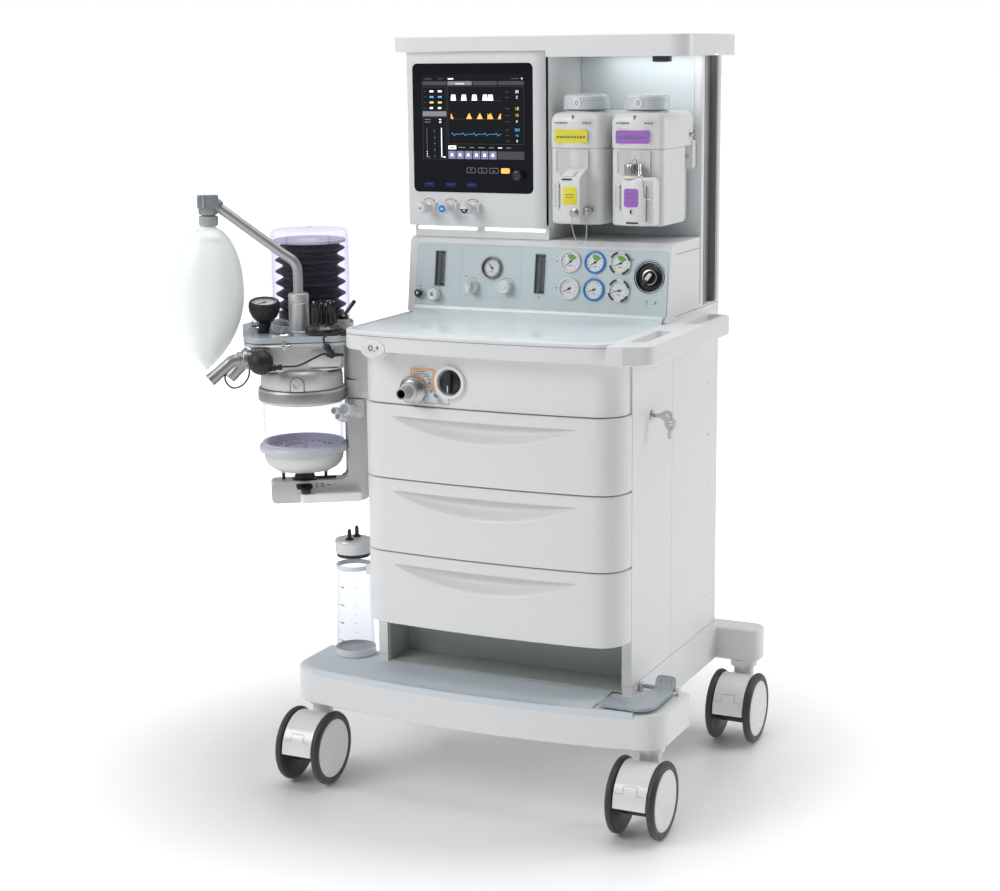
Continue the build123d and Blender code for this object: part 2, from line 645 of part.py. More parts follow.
with BuildPart() as bag_vent_lever:
    rod(arm, bag_valve_spot, spindle, 850, 862)
    rod(arm, bag_valve_spot, 10, 861.5, 870)
    lever_foot = arm.from_local_coords((bag_valve_spot[0], bag_valve_spot[1], 866))
    lever_end = arm.from_local_coords((bag_valve_spot[0] + 20, bag_valve_spot[1], 892))
    rod(Plane(origin=lever_foot, z_dir=(lever_end - lever_foot).normalized()), (0, 0), 3.5, 0, 36)
keep(bag_vent_lever, "bag_vent_lever")

elbow_u, elbow_z = -259, 1072
with BuildPart() as bag_arm:
    with BuildLine() as tube_path:
        bend = [
            arm.from_local_coords((socket_spot[0], socket_spot[1], z)) for z in (864, 946)
        ]
        upper = arm.from_local_coords((-135, socket_spot[1], 988))
        tube_end = arm.from_local_coords((elbow_u, socket_spot[1], elbow_z + 12))
        Line(bend[0], bend[1])
        TangentArc(bend[1], upper, tangent=(0, 0, 1))
        Line(upper, tube_end)
    with BuildSketch(Plane(origin=bend[0], z_dir=(0, 0, 1))) as tube_ring:
        Circle(9)
    sweep(tube_ring.sketch, path=tube_path.wire(), transition=Transition.ROUND)
    block((elbow_u - 19, elbow_u + 19), (socket_spot[1] - 19, socket_spot[1] + 19), (1054, 1092), 8, frame=arm)
    rod(arm, (elbow_u, socket_spot[1]), 17, 1036, 1056)
keep(bag_arm, "bag_arm")

with BuildPart() as breathing_bag:
    bag_low, bag_high, bag_width = 778, 1034, 60
    bag_heights = [bag_low + (bag_high - bag_low) * step / 12 for step in range(1, 12)]
    bag_outline = [
        (bag_width * math.sqrt(max(0.0, 1 - ((z - 912) / 138) ** 2)), z) for z in bag_heights
    ]
    turned(arm, (elbow_u - 2, socket_spot[1]), [(0, bag_low), *bag_outline, (14, bag_high), (0, bag_high)])
keep(breathing_bag, "breathing_bag")
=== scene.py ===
import json
import math
import random

import bmesh
import bpy
from mathutils import Matrix, Vector


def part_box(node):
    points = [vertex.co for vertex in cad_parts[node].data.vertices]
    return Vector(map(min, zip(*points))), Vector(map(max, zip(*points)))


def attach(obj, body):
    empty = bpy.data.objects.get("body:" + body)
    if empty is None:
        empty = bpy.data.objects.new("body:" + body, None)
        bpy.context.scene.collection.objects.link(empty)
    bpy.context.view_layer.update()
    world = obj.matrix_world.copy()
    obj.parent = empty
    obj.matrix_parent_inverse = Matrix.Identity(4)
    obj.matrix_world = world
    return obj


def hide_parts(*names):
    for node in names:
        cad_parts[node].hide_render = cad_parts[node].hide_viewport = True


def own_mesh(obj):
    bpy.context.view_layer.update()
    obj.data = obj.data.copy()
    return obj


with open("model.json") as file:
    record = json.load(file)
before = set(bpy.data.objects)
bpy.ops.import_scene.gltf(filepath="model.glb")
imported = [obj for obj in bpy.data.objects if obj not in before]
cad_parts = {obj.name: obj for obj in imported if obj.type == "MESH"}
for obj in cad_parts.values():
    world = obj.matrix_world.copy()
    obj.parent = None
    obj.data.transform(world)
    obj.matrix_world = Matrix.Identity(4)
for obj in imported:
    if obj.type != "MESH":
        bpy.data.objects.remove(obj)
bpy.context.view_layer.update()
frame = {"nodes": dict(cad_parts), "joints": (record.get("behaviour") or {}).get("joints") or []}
nodes = frame["nodes"]
joints = {j["name"]: j for j in frame["joints"]}
MM = 0.001
random.seed(7)

# The script is written about the cabinet's own axes; the row's origin lies elsewhere on the floor.
CABINET_LEFT, MONITOR_FRONT = -0.240, -0.050
monitor_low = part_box("monitor_housing")[0]
SHIFT = Vector((monitor_low.x - CABINET_LEFT, monitor_low.y - MONITOR_FRONT, 0))


def box(node):
    """A node's lowest and highest corners about the cabinet's own axes, in metres."""
    low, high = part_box(node)
    return Vector(low) - SHIFT, Vector(high) - SHIFT


# ------------------------------------------------------------------ materials
def node_material(name):
    material = bpy.data.materials.new(name)
    material.use_nodes = True
    tree = material.node_tree
    return material, tree, tree.nodes["Principled BSDF"]


def add_node(tree, kind, **values):
    made = tree.nodes.new(kind)
    for key, value in values.items():
        if key in made.inputs:
            made.inputs[key].default_value = value
        else:
            setattr(made, key, value)
    return made


def object_noise(tree, scale, detail=4.0, stretch=(1, 1, 1)):
    """Noise in the object's own coordinates, so that it doesn't swim when a body moves."""
    coordinates = add_node(tree, "ShaderNodeTexCoord")
    mapping = add_node(tree, "ShaderNodeMapping", Scale=stretch)
    noise = add_node(tree, "ShaderNodeTexNoise", Scale=scale, Detail=detail)
    tree.links.new(coordinates.outputs["Object"], mapping.inputs["Vector"])
    tree.links.new(mapping.outputs["Vector"], noise.inputs["Vector"])
    return noise


def ramp(tree, source, low, high, start=0.35, end=0.65):
    made = add_node(tree, "ShaderNodeMapRange")
    made.inputs["From Min"].default_value = start
    made.inputs["From Max"].default_value = end
    made.inputs["To Min"].default_value = low
    made.inputs["To Max"].default_value = high
    tree.links.new(source, made.inputs["Value"])
    return made.outputs["Result"]


def surface(name, color, rough, metallic=0.0, grain=900.0, bump=0.04, mottle=0.03, stretch=(1, 1, 1),
            coat=0.0, specular=0.5, edge_blend=0.0, edge_color=(0.9, 0.9, 0.9)):
    """Moulded or painted surface: fine grain in the bump, slow variation in colour and roughness."""
    material, tree, shader = node_material(name)
    fine = object_noise(tree, grain, 3.0, stretch)
    slow = object_noise(tree, 9.0, 5.0)
    mix = add_node(tree, "ShaderNodeMix", data_type="RGBA")
    dark = [c * (1 - mottle) for c in color] + [1]
    light = [min(1, c * (1 + mottle * 0.5)) for c in color] + [1]
    mix.inputs[6].default_value = dark
    mix.inputs[7].default_value = light
    tree.links.new(slow.outputs["Fac"], mix.inputs[0])
    base = mix.outputs[2]
    # Convex edges, found by pointiness, are tinted towards edge_color by up to the given amount.
    if edge_blend:
        geometry = add_node(tree, "ShaderNodeNewGeometry")
        edge = ramp(tree, geometry.outputs["Pointiness"], 0.0, edge_blend, 0.52, 0.6)
        edge_mix = add_node(tree, "ShaderNodeMix", data_type="RGBA")
        edge_mix.inputs[7].default_value = (*edge_color, 1)
        tree.links.new(edge, edge_mix.inputs[0])
        tree.links.new(base, edge_mix.inputs[6])
        base = edge_mix.outputs[2]
    tree.links.new(base, shader.inputs["Base Color"])
    tree.links.new(ramp(tree, slow.outputs["Fac"], rough * 0.88, rough * 1.12), shader.inputs["Roughness"])
    height = add_node(tree, "ShaderNodeBump", Strength=bump, Distance=0.0004)
    tree.links.new(fine.outputs["Fac"], height.inputs["Height"])
    tree.links.new(height.outputs["Normal"], shader.inputs["Normal"])
    shader.inputs["Metallic"].default_value = metallic
    shader.inputs["Coat Weight"].default_value = coat
    shader.inputs["Specular IOR Level"].default_value = specular
    return material


def clear_material(name, tint, rough=0.03, solid=0.12, edge=0.55):
    """Clear moulded plastic: see-through face on, denser and tinted towards its edges."""
    material, tree, shader = node_material(name)
    output = tree.nodes["Material Output"]
    facing = add_node(tree, "ShaderNodeLayerWeight", Blend=0.35)
    amount = ramp(tree, facing.outputs["Facing"], solid, edge, 0.35, 0.97)
    see_through = add_node(tree, "ShaderNodeBsdfTransparent")
    see_through.inputs["Color"].default_value = (*[0.5 + 0.5 * c for c in tint], 1)
    slow = object_noise(tree, 14.0)
    tree.links.new(ramp(tree, slow.outputs["Fac"], rough * 0.6, rough * 1.6), shader.inputs["Roughness"])
    shader.inputs["Base Color"].default_value = (*tint, 1)
    shader.inputs["Specular IOR Level"].default_value = 0.9
    shader.inputs["Coat Weight"].default_value = 0.4
    mix = add_node(tree, "ShaderNodeMixShader")
    tree.links.new(amount, mix.inputs[0])
    tree.links.new(see_through.outputs[0], mix.inputs[1])
    tree.links.new(shader.outputs[0], mix.inputs[2])
    tree.links.new(mix.outputs[0], output.inputs["Surface"])
    return material


def glow(name, color, strength):
    material, tree, shader = node_material(name)
    shader.inputs["Base Color"].default_value = (*color, 1)
    shader.inputs["Emission Color"].default_value = (*color, 1)
    slow = object_noise(tree, 30.0)
    tree.links.new(ramp(tree, slow.outputs["Fac"], strength * 0.93, strength),
        shader.inputs["Emission Strength"])
    shader.inputs["Specular IOR Level"].default_value = 0.12
    return material


WHITE = (0.78, 0.785, 0.785)
mat = {
    "shell": surface("shell_white", WHITE, 0.36, bump=0.05, mottle=0.015),
    "shell_gloss": surface("shell_gloss_white", (0.80, 0.805, 0.81), 0.2, bump=0.02, mottle=0.015, coat=0.3),
    "base": surface("base_paint", (0.76, 0.765, 0.765), 0.33, bump=0.06, mottle=0.02, edge_blend=0.15),
    "mat": surface("tread_mat", (0.66, 0.72, 0.765), 0.55, grain=420.0, bump=0.35, mottle=0.05),
    "inner": surface("inner_steel", (0.46, 0.50, 0.475), 0.42, bump=0.08, mottle=0.06),
    "panel": surface("panel_grey", (0.60, 0.685, 0.705), 0.34, bump=0.04, mottle=0.02),
    "worktop": surface("worktop_grey", (0.70, 0.775, 0.79), 0.22, bump=0.03, mottle=0.02, coat=0.25),
    "steel": surface("turned_steel", (0.50, 0.50, 0.51), 0.28, 1.0, grain=260.0, bump=0.06,
        stretch=(1, 1, 14)),
    "nickel": surface("nickel", (0.62, 0.61, 0.60), 0.16, 1.0, grain=300.0, bump=0.03),
    "cast": surface("cast_silver", (0.68, 0.68, 0.665), 0.44, 0.7, grain=1300.0, bump=0.12, mottle=0.04),
    "bracket": surface("bracket_silver", (0.60, 0.61, 0.605), 0.42, 0.6, grain=1500.0, bump=0.1, mottle=0.04),
    "rail": surface("rail_metal", (0.36, 0.365, 0.37), 0.4, 0.8, grain=500.0, bump=0.06,
        stretch=(1, 1, 0.05)),
    "glass": surface("display_glass", (0.006, 0.007, 0.012), 0.06, bump=0.0, mottle=0.1, coat=0.06,
        specular=0.15),
    "black": surface("satin_black", (0.014, 0.014, 0.015), 0.35, bump=0.08, mottle=0.1),
    "rubber": surface("black_rubber", (0.012, 0.012, 0.014), 0.48, grain=600.0, bump=0.15, mottle=0.12),
    "tyre": surface("tyre_grey", (0.035, 0.04, 0.043), 0.5, grain=500.0, bump=0.2, mottle=0.12, edge_blend=0.1,
        edge_color=(0.1, 0.1, 0.1)),
    "disc": surface("wheel_disc", (0.74, 0.75, 0.755), 0.3, bump=0.03, mottle=0.02),
    "pedal": surface("pedal_grey", (0.33, 0.385, 0.415), 0.42, grain=500.0, bump=0.12, mottle=0.04,
        edge_blend=0.2),
    "dial": surface("dial_grey", (0.62, 0.68, 0.69), 0.36, bump=0.04, mottle=0.02),
    "vaporiser": surface("vaporiser_white", (0.76, 0.76, 0.755), 0.34, bump=0.05, mottle=0.015),
    "seam": surface("seam_line", (0.22, 0.23, 0.235), 0.6, bump=0.02, mottle=0.1),
    "module": surface("sheet_steel", (0.48, 0.49, 0.49), 0.4, 0.6, grain=700.0, bump=0.05, mottle=0.04),
    "white_mark": surface("white_print", (0.85, 0.85, 0.85), 0.4, bump=0.02, mottle=0.03),
    "grey_mark": surface("grey_print", (0.16, 0.18, 0.20), 0.45, bump=0.02, mottle=0.1),
    "blue_mark": surface("blue_print", (0.07, 0.30, 0.62), 0.4, bump=0.02, mottle=0.06),
    "orange_mark": surface("orange_print", (0.80, 0.33, 0.08), 0.4, bump=0.02, mottle=0.06),
    "gauge_blue": surface("gauge_blue", (0.02, 0.27, 0.70), 0.25, bump=0.02, mottle=0.06, coat=0.3),
    "gauge_green": surface("gauge_green", (0.16, 0.42, 0.05), 0.4, bump=0.02, mottle=0.08),
    "gauge_face": surface("gauge_face", (0.80, 0.81, 0.82), 0.35, bump=0.02, mottle=0.03, coat=0.5),
    "dark_bezel": surface("dark_bezel", (0.22, 0.24, 0.25), 0.3, 0.3, bump=0.03, mottle=0.05),
    "window_dark": surface("window_dark", (0.05, 0.058, 0.062), 0.25, bump=0.03, mottle=0.1, coat=0.3),
    "satin_dark": surface("satin_dark", (0.02, 0.022, 0.03), 0.28, bump=0.03, mottle=0.1, coat=0.3),
    "panel_pale": surface("recess_white", (0.66, 0.67, 0.67), 0.4, bump=0.04, mottle=0.03),
    "bay_liner": surface("bay_liner", (0.72, 0.80, 0.82), 0.4, bump=0.04, mottle=0.03),
    "label_yellow": surface("label_yellow", (0.82, 0.72, 0.02), 0.4, bump=0.02, mottle=0.04),
    "label_violet": surface("label_violet", (0.36, 0.14, 0.56), 0.4, bump=0.02, mottle=0.04),
    "cord": surface("cord", (0.50, 0.50, 0.49), 0.5, grain=900.0, bump=0.1, mottle=0.05),
    "plate_silver": surface("plate_silver", (0.56, 0.61, 0.64), 0.3, 0.55, grain=1200.0, bump=0.06,
        mottle=0.04, coat=0.2),
    "cast_dark": surface("cast_dark", (0.40, 0.40, 0.385), 0.4, 0.8, grain=1300.0, bump=0.12, mottle=0.05),
    "bellows_rubber": surface("bellows_rubber", (0.022, 0.02, 0.028), 0.38, grain=500.0, bump=0.1,
        mottle=0.1),
    "ring_milky": surface("ring_milky", (0.60, 0.61, 0.68), 0.25, bump=0.03, mottle=0.04, coat=0.4),
    "disc_violet": surface("disc_violet", (0.60, 0.56, 0.64), 0.35, bump=0.04, mottle=0.08),
    "port_grey": surface("port_grey", (0.42, 0.44, 0.44), 0.45, bump=0.04, mottle=0.05),
    "elbow_grey": surface("elbow_grey", (0.30, 0.33, 0.345), 0.35, 0.5, grain=800.0, bump=0.08, mottle=0.05),
    "port_metal": surface("port_metal", (0.40, 0.405, 0.405), 0.36, 0.8, grain=600.0, bump=0.05, mottle=0.05),
    # painted light: a whiter copy of the gloss white plastic for the canister handle, which sits in shade, so
    # that it reads as brightly lit
    "grip_white_painted_light": surface("grip_white_painted_light", (0.95, 0.95, 0.94), 0.3, bump=0.03, mottle=0.02, coat=0.4),
    "brushed_tube": surface("brushed_tube", (0.50, 0.50, 0.49), 0.42, 0.8, grain=400.0, bump=0.05,
        stretch=(1, 1, 6)),
    "silicone": surface("bag_silicone", (0.84, 0.865, 0.865), 0.42, grain=700.0, bump=0.06, mottle=0.03,
        coat=0.15),
    "lid_silver": surface("lid_silver", (0.70, 0.705, 0.71), 0.35, 0.35, grain=800.0, bump=0.05, mottle=0.03),
    "gloss_black": surface("gloss_black", (0.012, 0.012, 0.014), 0.12, bump=0.03, mottle=0.1, coat=0.5),
    "screen_black": glow("screen_black", (0.004, 0.005, 0.007), 0.6),
    "ui_grey": glow("ui_grey", (0.16, 0.16, 0.17), 0.9),
    "ui_dim": glow("ui_dim", (0.045, 0.045, 0.05), 0.9),
    "ui_white": glow("ui_white", (0.95, 0.95, 0.95), 0.95),
    "ui_orange": glow("ui_orange", (0.95, 0.45, 0.10), 0.85),
    "ui_yellow": glow("ui_yellow", (0.75, 0.58, 0.16), 0.8),
    "ui_blue": glow("ui_blue", (0.10, 0.35, 0.75), 0.8),
    "ui_deep_blue": glow("ui_deep_blue", (0.008, 0.014, 0.05), 0.9),
    "ui_dim_blue": glow("ui_dim_blue", (0.03, 0.05, 0.16), 0.9),
    "ui_violet": glow("ui_violet", (0.17, 0.17, 0.27), 0.8),
    "led": glow("led", (0.95, 0.98, 1.0), 1.7),
    "clear": clear_material("clear_violet", (0.86, 0.84, 0.96), 0.03, 0.015, 0.30),
    "clear_pale": clear_material("clear_pale", (0.90, 0.90, 0.98), 0.03, 0.03, 0.34),
    "clear_jar": clear_material("clear_jar", (0.88, 0.90, 0.93), 0.04, 0.04, 0.42),
}


# painted glow: a faint, even emission brightens the bag's skin, standing in for light that passes through its
# thin pale wall and light falling on it
bag_shader = mat["silicone"].node_tree.nodes["Principled BSDF"]
bag_shader.inputs["Emission Color"].default_value = (0.9, 0.95, 0.95, 1)
bag_shader.inputs["Emission Strength"].default_value = 0.16


def shade(node, material):
    mesh = nodes[node].data
    mesh.materials.clear()
    mesh.materials.append(mat[material])


# ------------------------------------------------------------------ stage, light and camera
FLOOR_SIZE = 200                                  # m, so that no edge comes into the picture


def build_stage():
    floor_material, tree, shader = node_material("stage_floor")
    slow = object_noise(tree, 1.5)
    tree.links.new(ramp(tree, slow.outputs["Fac"], 0.30, 0.34), shader.inputs["Roughness"])
    shader.inputs["Base Color"].default_value = (0.86, 0.865, 0.87, 1)
    shader.inputs["Emission Color"].default_value = (1, 1, 1, 1)
    # Painted light: for camera rays the floor glows, from almost nothing near its middle to full strength
    # from 1.6 m out, so it brightens into a white backdrop away from the middle while the lamps' shadow still
    # shows near it; other rays see an even, faint glow.
    spot = add_node(tree, "ShaderNodeVectorMath", operation="LENGTH")
    tree.links.new(add_node(tree, "ShaderNodeNewGeometry").outputs["Position"], spot.inputs[0])
    seen = add_node(tree, "ShaderNodeLightPath").outputs["Is Camera Ray"]
    bright = add_node(tree, "ShaderNodeMix", data_type="FLOAT")
    tree.links.new(seen, bright.inputs["Factor"])
    bright.inputs["A"].default_value = 0.26
    tree.links.new(ramp(tree, spot.outputs["Value"], 0.02, 1.0, 0.45, 1.6), bright.inputs["B"])
    tree.links.new(bright.outputs["Result"], shader.inputs["Emission Strength"])
    bpy.ops.mesh.primitive_plane_add(size=FLOOR_SIZE, location=(0, 0, 0))
    floor = bpy.context.object
    floor.name = "stage_floor"
    floor.data.materials.append(floor_material)

    world = bpy.data.worlds.new("studio")
    world.use_nodes = True
    sky = world.node_tree
    ambient = sky.nodes["Background"]
    ambient.inputs["Color"].default_value = (0.96, 0.975, 1, 1)
    towards = add_node(sky, "ShaderNodeVectorMath", operation="DOT_PRODUCT")
    sky.links.new(add_node(sky, "ShaderNodeNewGeometry").outputs["Incoming"], towards.inputs[0])
    towards.inputs[1].default_value = (-0.77, 0.63, 0.0)
    sky.links.new(ramp(sky, towards.outputs["Value"], 0.44, 0.08, 0.25, 0.95), ambient.inputs["Strength"])
    backdrop = add_node(sky, "ShaderNodeBackground", Strength=1.0)
    backdrop.inputs["Color"].default_value = (1, 1, 1, 1)
    rays = add_node(sky, "ShaderNodeLightPath")
    mix = add_node(sky, "ShaderNodeMixShader")
    sky.links.new(rays.outputs["Is Camera Ray"], mix.inputs[0])
    sky.links.new(ambient.outputs[0], mix.inputs[1])
    sky.links.new(backdrop.outputs[0], mix.inputs[2])
    sky.links.new(mix.outputs[0], sky.nodes["World Output"].inputs["Surface"])
    bpy.context.scene.world = world

    def area(name, place, target, size, power):
        light = bpy.data.lights.new(name, "AREA")
        light.shape = "RECTANGLE"
        light.size, light.size_y = size
        light.energy = power
        lamp = bpy.data.objects.new(name, light)
        bpy.context.scene.collection.objects.link(lamp)
        lamp.location = Vector(place) + SHIFT
        lamp.rotation_euler = (Vector(target) - Vector(place)).to_track_quat("-Z", "Y").to_euler()

    area("key_light", (-2.2, -3.0, 2.9), (0, 0, 0.8), (2.2, 1.8), 70)
    area("bay_light", (0.22, 0.07, 1.32), (0.22, 0.16, 1.1), (0.24, 0.06), 0.1)
    area("side_light", (3.3, 2.2, 1.9), (0, 0, 0.7), (1.4, 2.4), 47)
    area("top_light", (0.2, 0.3, 4.0), (0, 0, 0.8), (2.6, 2.6), 66)
    bpy.context.scene.view_settings.view_transform = "Standard"


CAMERA_PLACE = (1.4534, -3.2718, 1.3336)          # m, about the cabinet's axes
CAMERA_YAW_PITCH_ROLL = (25.084, 11.438, 0.587)   # degrees
CAMERA_LENS, CAMERA_SENSOR = 69.72, 36            # mm


def build_camera():
    yaw, pitch, roll = (math.radians(a) for a in CAMERA_YAW_PITCH_ROLL)
    forward = Vector((-math.sin(yaw) * math.cos(pitch), math.cos(yaw) * math.cos(pitch), -math.sin(pitch)))
    right = Vector((math.cos(yaw), math.sin(yaw), 0))
    down = forward.cross(right)
    across = math.cos(roll) * right + math.sin(roll) * down
    below = -math.sin(roll) * right + math.cos(roll) * down
    camera = bpy.data.cameras.new("camera")
    camera.sensor_width = CAMERA_SENSOR
    camera.lens = CAMERA_LENS
    holder = bpy.data.objects.new("camera", camera)
    bpy.context.scene.collection.objects.link(holder)
    turn = Matrix((across, -below, -forward)).transposed().to_4x4()
    holder.matrix_world = Matrix.Translation(Vector(CAMERA_PLACE) + SHIFT) @ turn
    bpy.context.scene.camera = holder


build_stage()
build_camera()


# ------------------------------------------------------------------ mesh helpers
def moved(x, y, z=0.0):
    return Matrix.Translation((x, y, z))


def spun(degrees):
    """Turn about local z."""
    return Matrix.Rotation(math.radians(degrees), 4, "Z")


def finish_piece(name, bm, body, materials, smooth=38, replaces=()):
    """Turns a bmesh in metres, in the row frame, into a piece that rides on a body."""
    bmesh.ops.recalc_face_normals(bm, faces=bm.faces)
    bmesh.ops.translate(bm, verts=bm.verts, vec=SHIFT)
    mesh = bpy.data.meshes.new(name)
    bm.to_mesh(mesh)
    bm.free()
    for material in materials:
        mesh.materials.append(mat[material])
    mesh.shade_smooth()
    mesh.set_sharp_from_angle(angle=math.radians(smooth))
    piece = bpy.data.objects.new(name, mesh)
    bpy.context.scene.collection.objects.link(piece)
    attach(piece, body)
    if replaces:
        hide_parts(*replaces)
    return piece


def plane_frame(origin, normal, across=(1, 0, 0)):
    """Matrix from local millimetres to the row frame: local z is normal, local x lies along across."""
    z = Vector(normal).normalized()
    x = Vector(across)
    x = (x - x.dot(z) * z).normalized()
    turn = Matrix((x, z.cross(x), z)).transposed().to_4x4()
    return Matrix.Translation(Vector(origin)) @ turn @ Matrix.Scale(MM, 4)


def up_frame(x, y, z=0.0):
    return plane_frame((x * MM, y * MM, z * MM), (0, 0, 1))


def front_frame(x, y, z):
    """Local x to the right, local y up, local z towards the operator."""
    return plane_frame((x * MM, y * MM, z * MM), (0, -1, 0))


def add_lathe(bm, place, profile, segments=64, closed=False, material=0):
    """Revolves (radius, height) points; a third number sets the material from that point on."""
    rings, bands = [], []
    for radius, height, *change in profile:
        material = change[0] if change else material
        bands.append(material)
        if radius < 1e-6:
            rings.append([bm.verts.new(place @ Vector((0, 0, height)))] * segments)
            continue
        ring = []
        for step in range(segments):
            angle = 2 * math.pi * step / segments
            ring.append(bm.verts.new(place @ Vector((radius * math.cos(angle), radius * math.sin(angle),
                height))))
        rings.append(ring)
    pairs = list(zip(rings, rings[1:], bands))
    if closed:
        pairs.append((rings[-1], rings[0], bands[-1]))
    for low, high, band in pairs:
        for step in range(segments):
            after = (step + 1) % segments
            corners = []
            for vert in (low[step], low[after], high[after], high[step]):
                if vert not in corners:
                    corners.append(vert)
            if len(corners) > 2:
                bm.faces.new(corners).material_index = band


def bridge(bm, rings, material=0, closed=False):
    """Quads between rings of vertices of the same count; closed also joins the last ring to the first."""
    for near, far in zip(rings, rings[1:] + rings[:1] if closed else rings[1:]):
        for k in range(len(near)):
            j = (k + 1) % len(near)
            bm.faces.new((near[k], near[j], far[j], far[k])).material_index = material


def add_slab(bm, place, outline, low, high, bevel=0.0, material=0, segments=2):
    """Prism over a 2-D outline with softened edges."""
    part = bmesh.new()
    bottom = [part.verts.new((x, y, low)) for x, y in outline]
    top = [part.verts.new((x, y, high)) for x, y in outline]
    part.faces.new(bottom[::-1])
    part.faces.new(top)
    for i in range(len(outline)):
        j = (i + 1) % len(outline)
        part.faces.new((bottom[i], bottom[j], top[j], top[i]))
    if bevel:
        rim = [e for e in part.edges if abs(e.verts[0].co.z - e.verts[1].co.z) < 1e-6]
        sharp = [e for e in part.edges if e not in rim and e.calc_face_angle(0) > 0.6]
        bmesh.ops.bevel(part, geom=rim + sharp, offset=bevel, segments=segments, profile=0.6, affect="EDGES",
                        clamp_overlap=True)
    merge(bm, part, place, material)


def merge(bm, part, place, material=None):
    """Adds a part in local millimetres to a bmesh in metres, keeping its materials unless one is given."""
    index = {}
    for vert in part.verts:
        index[vert] = bm.verts.new(place @ vert.co)
    for face in part.faces:
        made = bm.faces.new([index[v] for v in face.verts])
        made.material_index = face.material_index if material is None else material
    part.free()


def rounded(width, height, radius, x=0.0, y=0.0, steps=6):
    """Outline of a rounded rectangle about (x, y)."""
    points = []
    for cx, cy, turn in ((1, 1, 0), (-1, 1, 90), (-1, -1, 180), (1, -1, 270)):
        for step in range(steps + 1):
            angle = math.radians(turn + 90 * step / steps)
            points.append((x + cx * (width / 2 - radius) + radius * math.cos(angle),
                           y + cy * (height / 2 - radius) + radius * math.sin(angle)))
    return points


def oval(width, height, x=0.0, y=0.0, steps=48):
    return [(x + width / 2 * math.cos(2 * math.pi * k / steps),
        y + height / 2 * math.sin(2 * math.pi * k / steps)) for k in range(steps)]


def smooth_path(points, steps=10):
    """Catmull-Rom curve through points."""
    points = [Vector(p) for p in points]
    ends = [2 * points[0] - points[1], *points, 2 * points[-1] - points[-2]]
    path = []
    for a, b, c, d in zip(ends, ends[1:], ends[2:], ends[3:]):
        for step in range(steps):
            t = step / steps
            path.append(0.5 * (2 * b + (c - a) * t + (2 * a - 5 * b + 4 * c - d) * t * t +
                (3 * b - a - 3 * c + d) * t**3))
    path.append(points[-1])
    return path


def add_tube(bm, place, path, radius, segments=16, material=0, wall=0.0):
    """Round tube along a path; radius may be a function of the share of its length. wall makes it hollow."""
    path = [Vector(p) for p in path]
    lengths = [0.0]
    for a, b in zip(path, path[1:]):
        lengths.append(lengths[-1] + (b - a).length)
    normal = None
    rings, inner = [], []
    for i, point in enumerate(path):
        ahead = path[min(i + 1, len(path) - 1)] - path[max(i - 1, 0)]
        ahead.normalize()
        if normal is None:
            normal = ahead.orthogonal().normalized()
        normal = (normal - normal.dot(ahead) * ahead).normalized()
        side = ahead.cross(normal)
        size = radius(lengths[i] / lengths[-1]) if callable(radius) else radius
        for store, reach in ((rings, size), (inner, size - wall)):
            if store is rings or wall:
                store.append([bm.verts.new(place @ (point + reach *
                    (math.cos(a) * normal + math.sin(a) * side))) for a in (2 * math.pi * k / segments
                    for k in range(segments))])
    for stack in (rings, inner):
        bridge(bm, stack, material)
    for end in (0, -1):
        if wall:
            bridge(bm, (rings[end], inner[end]), material)
        else:
            bm.faces.new(rings[end]).material_index = material


def add_digits(bm, place, text, size, material=0, depth=0.15, align="CENTER"):
    """Flat figures of a scale or a reading, centred on the local origin."""
    curve = bpy.data.curves.new("figures", "FONT")
    curve.body = text
    curve.size = size
    curve.extrude = depth
    curve.align_x, curve.align_y = align, "CENTER"
    holder = bpy.data.objects.new("figures", curve)
    bpy.context.scene.collection.objects.link(holder)
    bpy.context.view_layer.update()
    mesh = holder.to_mesh()
    part = bmesh.new()
    part.from_mesh(mesh)
    holder.to_mesh_clear()
    bpy.data.objects.remove(holder)
    bpy.data.curves.remove(curve)
    merge(bm, part, place, material)


def round_corners(points, steps=6):
    """Outline with each (x, y, radius) corner rounded."""
    outline = []
    for before, (x, y, radius), after in zip(points[-1:] + points[:-1], points, points[1:] + points[:1]):
        here = Vector((x, y))
        into, out = Vector(before[:2]) - here, Vector(after[:2]) - here
        reach = min(radius / math.tan(into.angle(out) / 2), into.length * 0.48, out.length * 0.48)
        a, b = here + into.normalized() * reach, here + out.normalized() * reach
        for step in range(steps + 1):
            t = step / steps
            outline.append(tuple((1 - t) ** 2 * a + 2 * t * (1 - t) * here + t * t * b))
    return outline


def add_ring(bm, place, outer, inner, low, high, material=0):
    """Prism between two outlines with the same number of points."""
    loops = [[bm.verts.new(place @ Vector((x, y, z))) for x, y in ring] for ring, z in
             ((outer, low), (outer, high), (inner, high), (inner, low))]
    bridge(bm, loops, material, closed=True)


def add_loft(bm, place, rings, material=0, cap=True):
    """Skin over rings of (x, y, z) points, all of the same count."""
    made = [[bm.verts.new(place @ Vector(p)) for p in ring] for ring in rings]
    bridge(bm, made, material)
    if cap:
        bm.faces.new(made[0][::-1]).material_index = material
        bm.faces.new(made[-1]).material_index = material


def add_ribbed(bm, place, profile, ribs, depth, material=0, segments=144):
    """Turned shape with shallow grip ribs; profile is (radius, height, share of the rib depth)."""
    rings = []
    for radius, height, share in profile:
        ring = []
        for k in range(segments):
            angle = 2 * math.pi * k / segments
            size = radius - depth * share * (0.5 - 0.5 * math.cos(ribs * angle)) ** 0.6
            ring.append((size * math.cos(angle), size * math.sin(angle), height))
        rings.append(ring)
    add_loft(bm, place, rings, material)


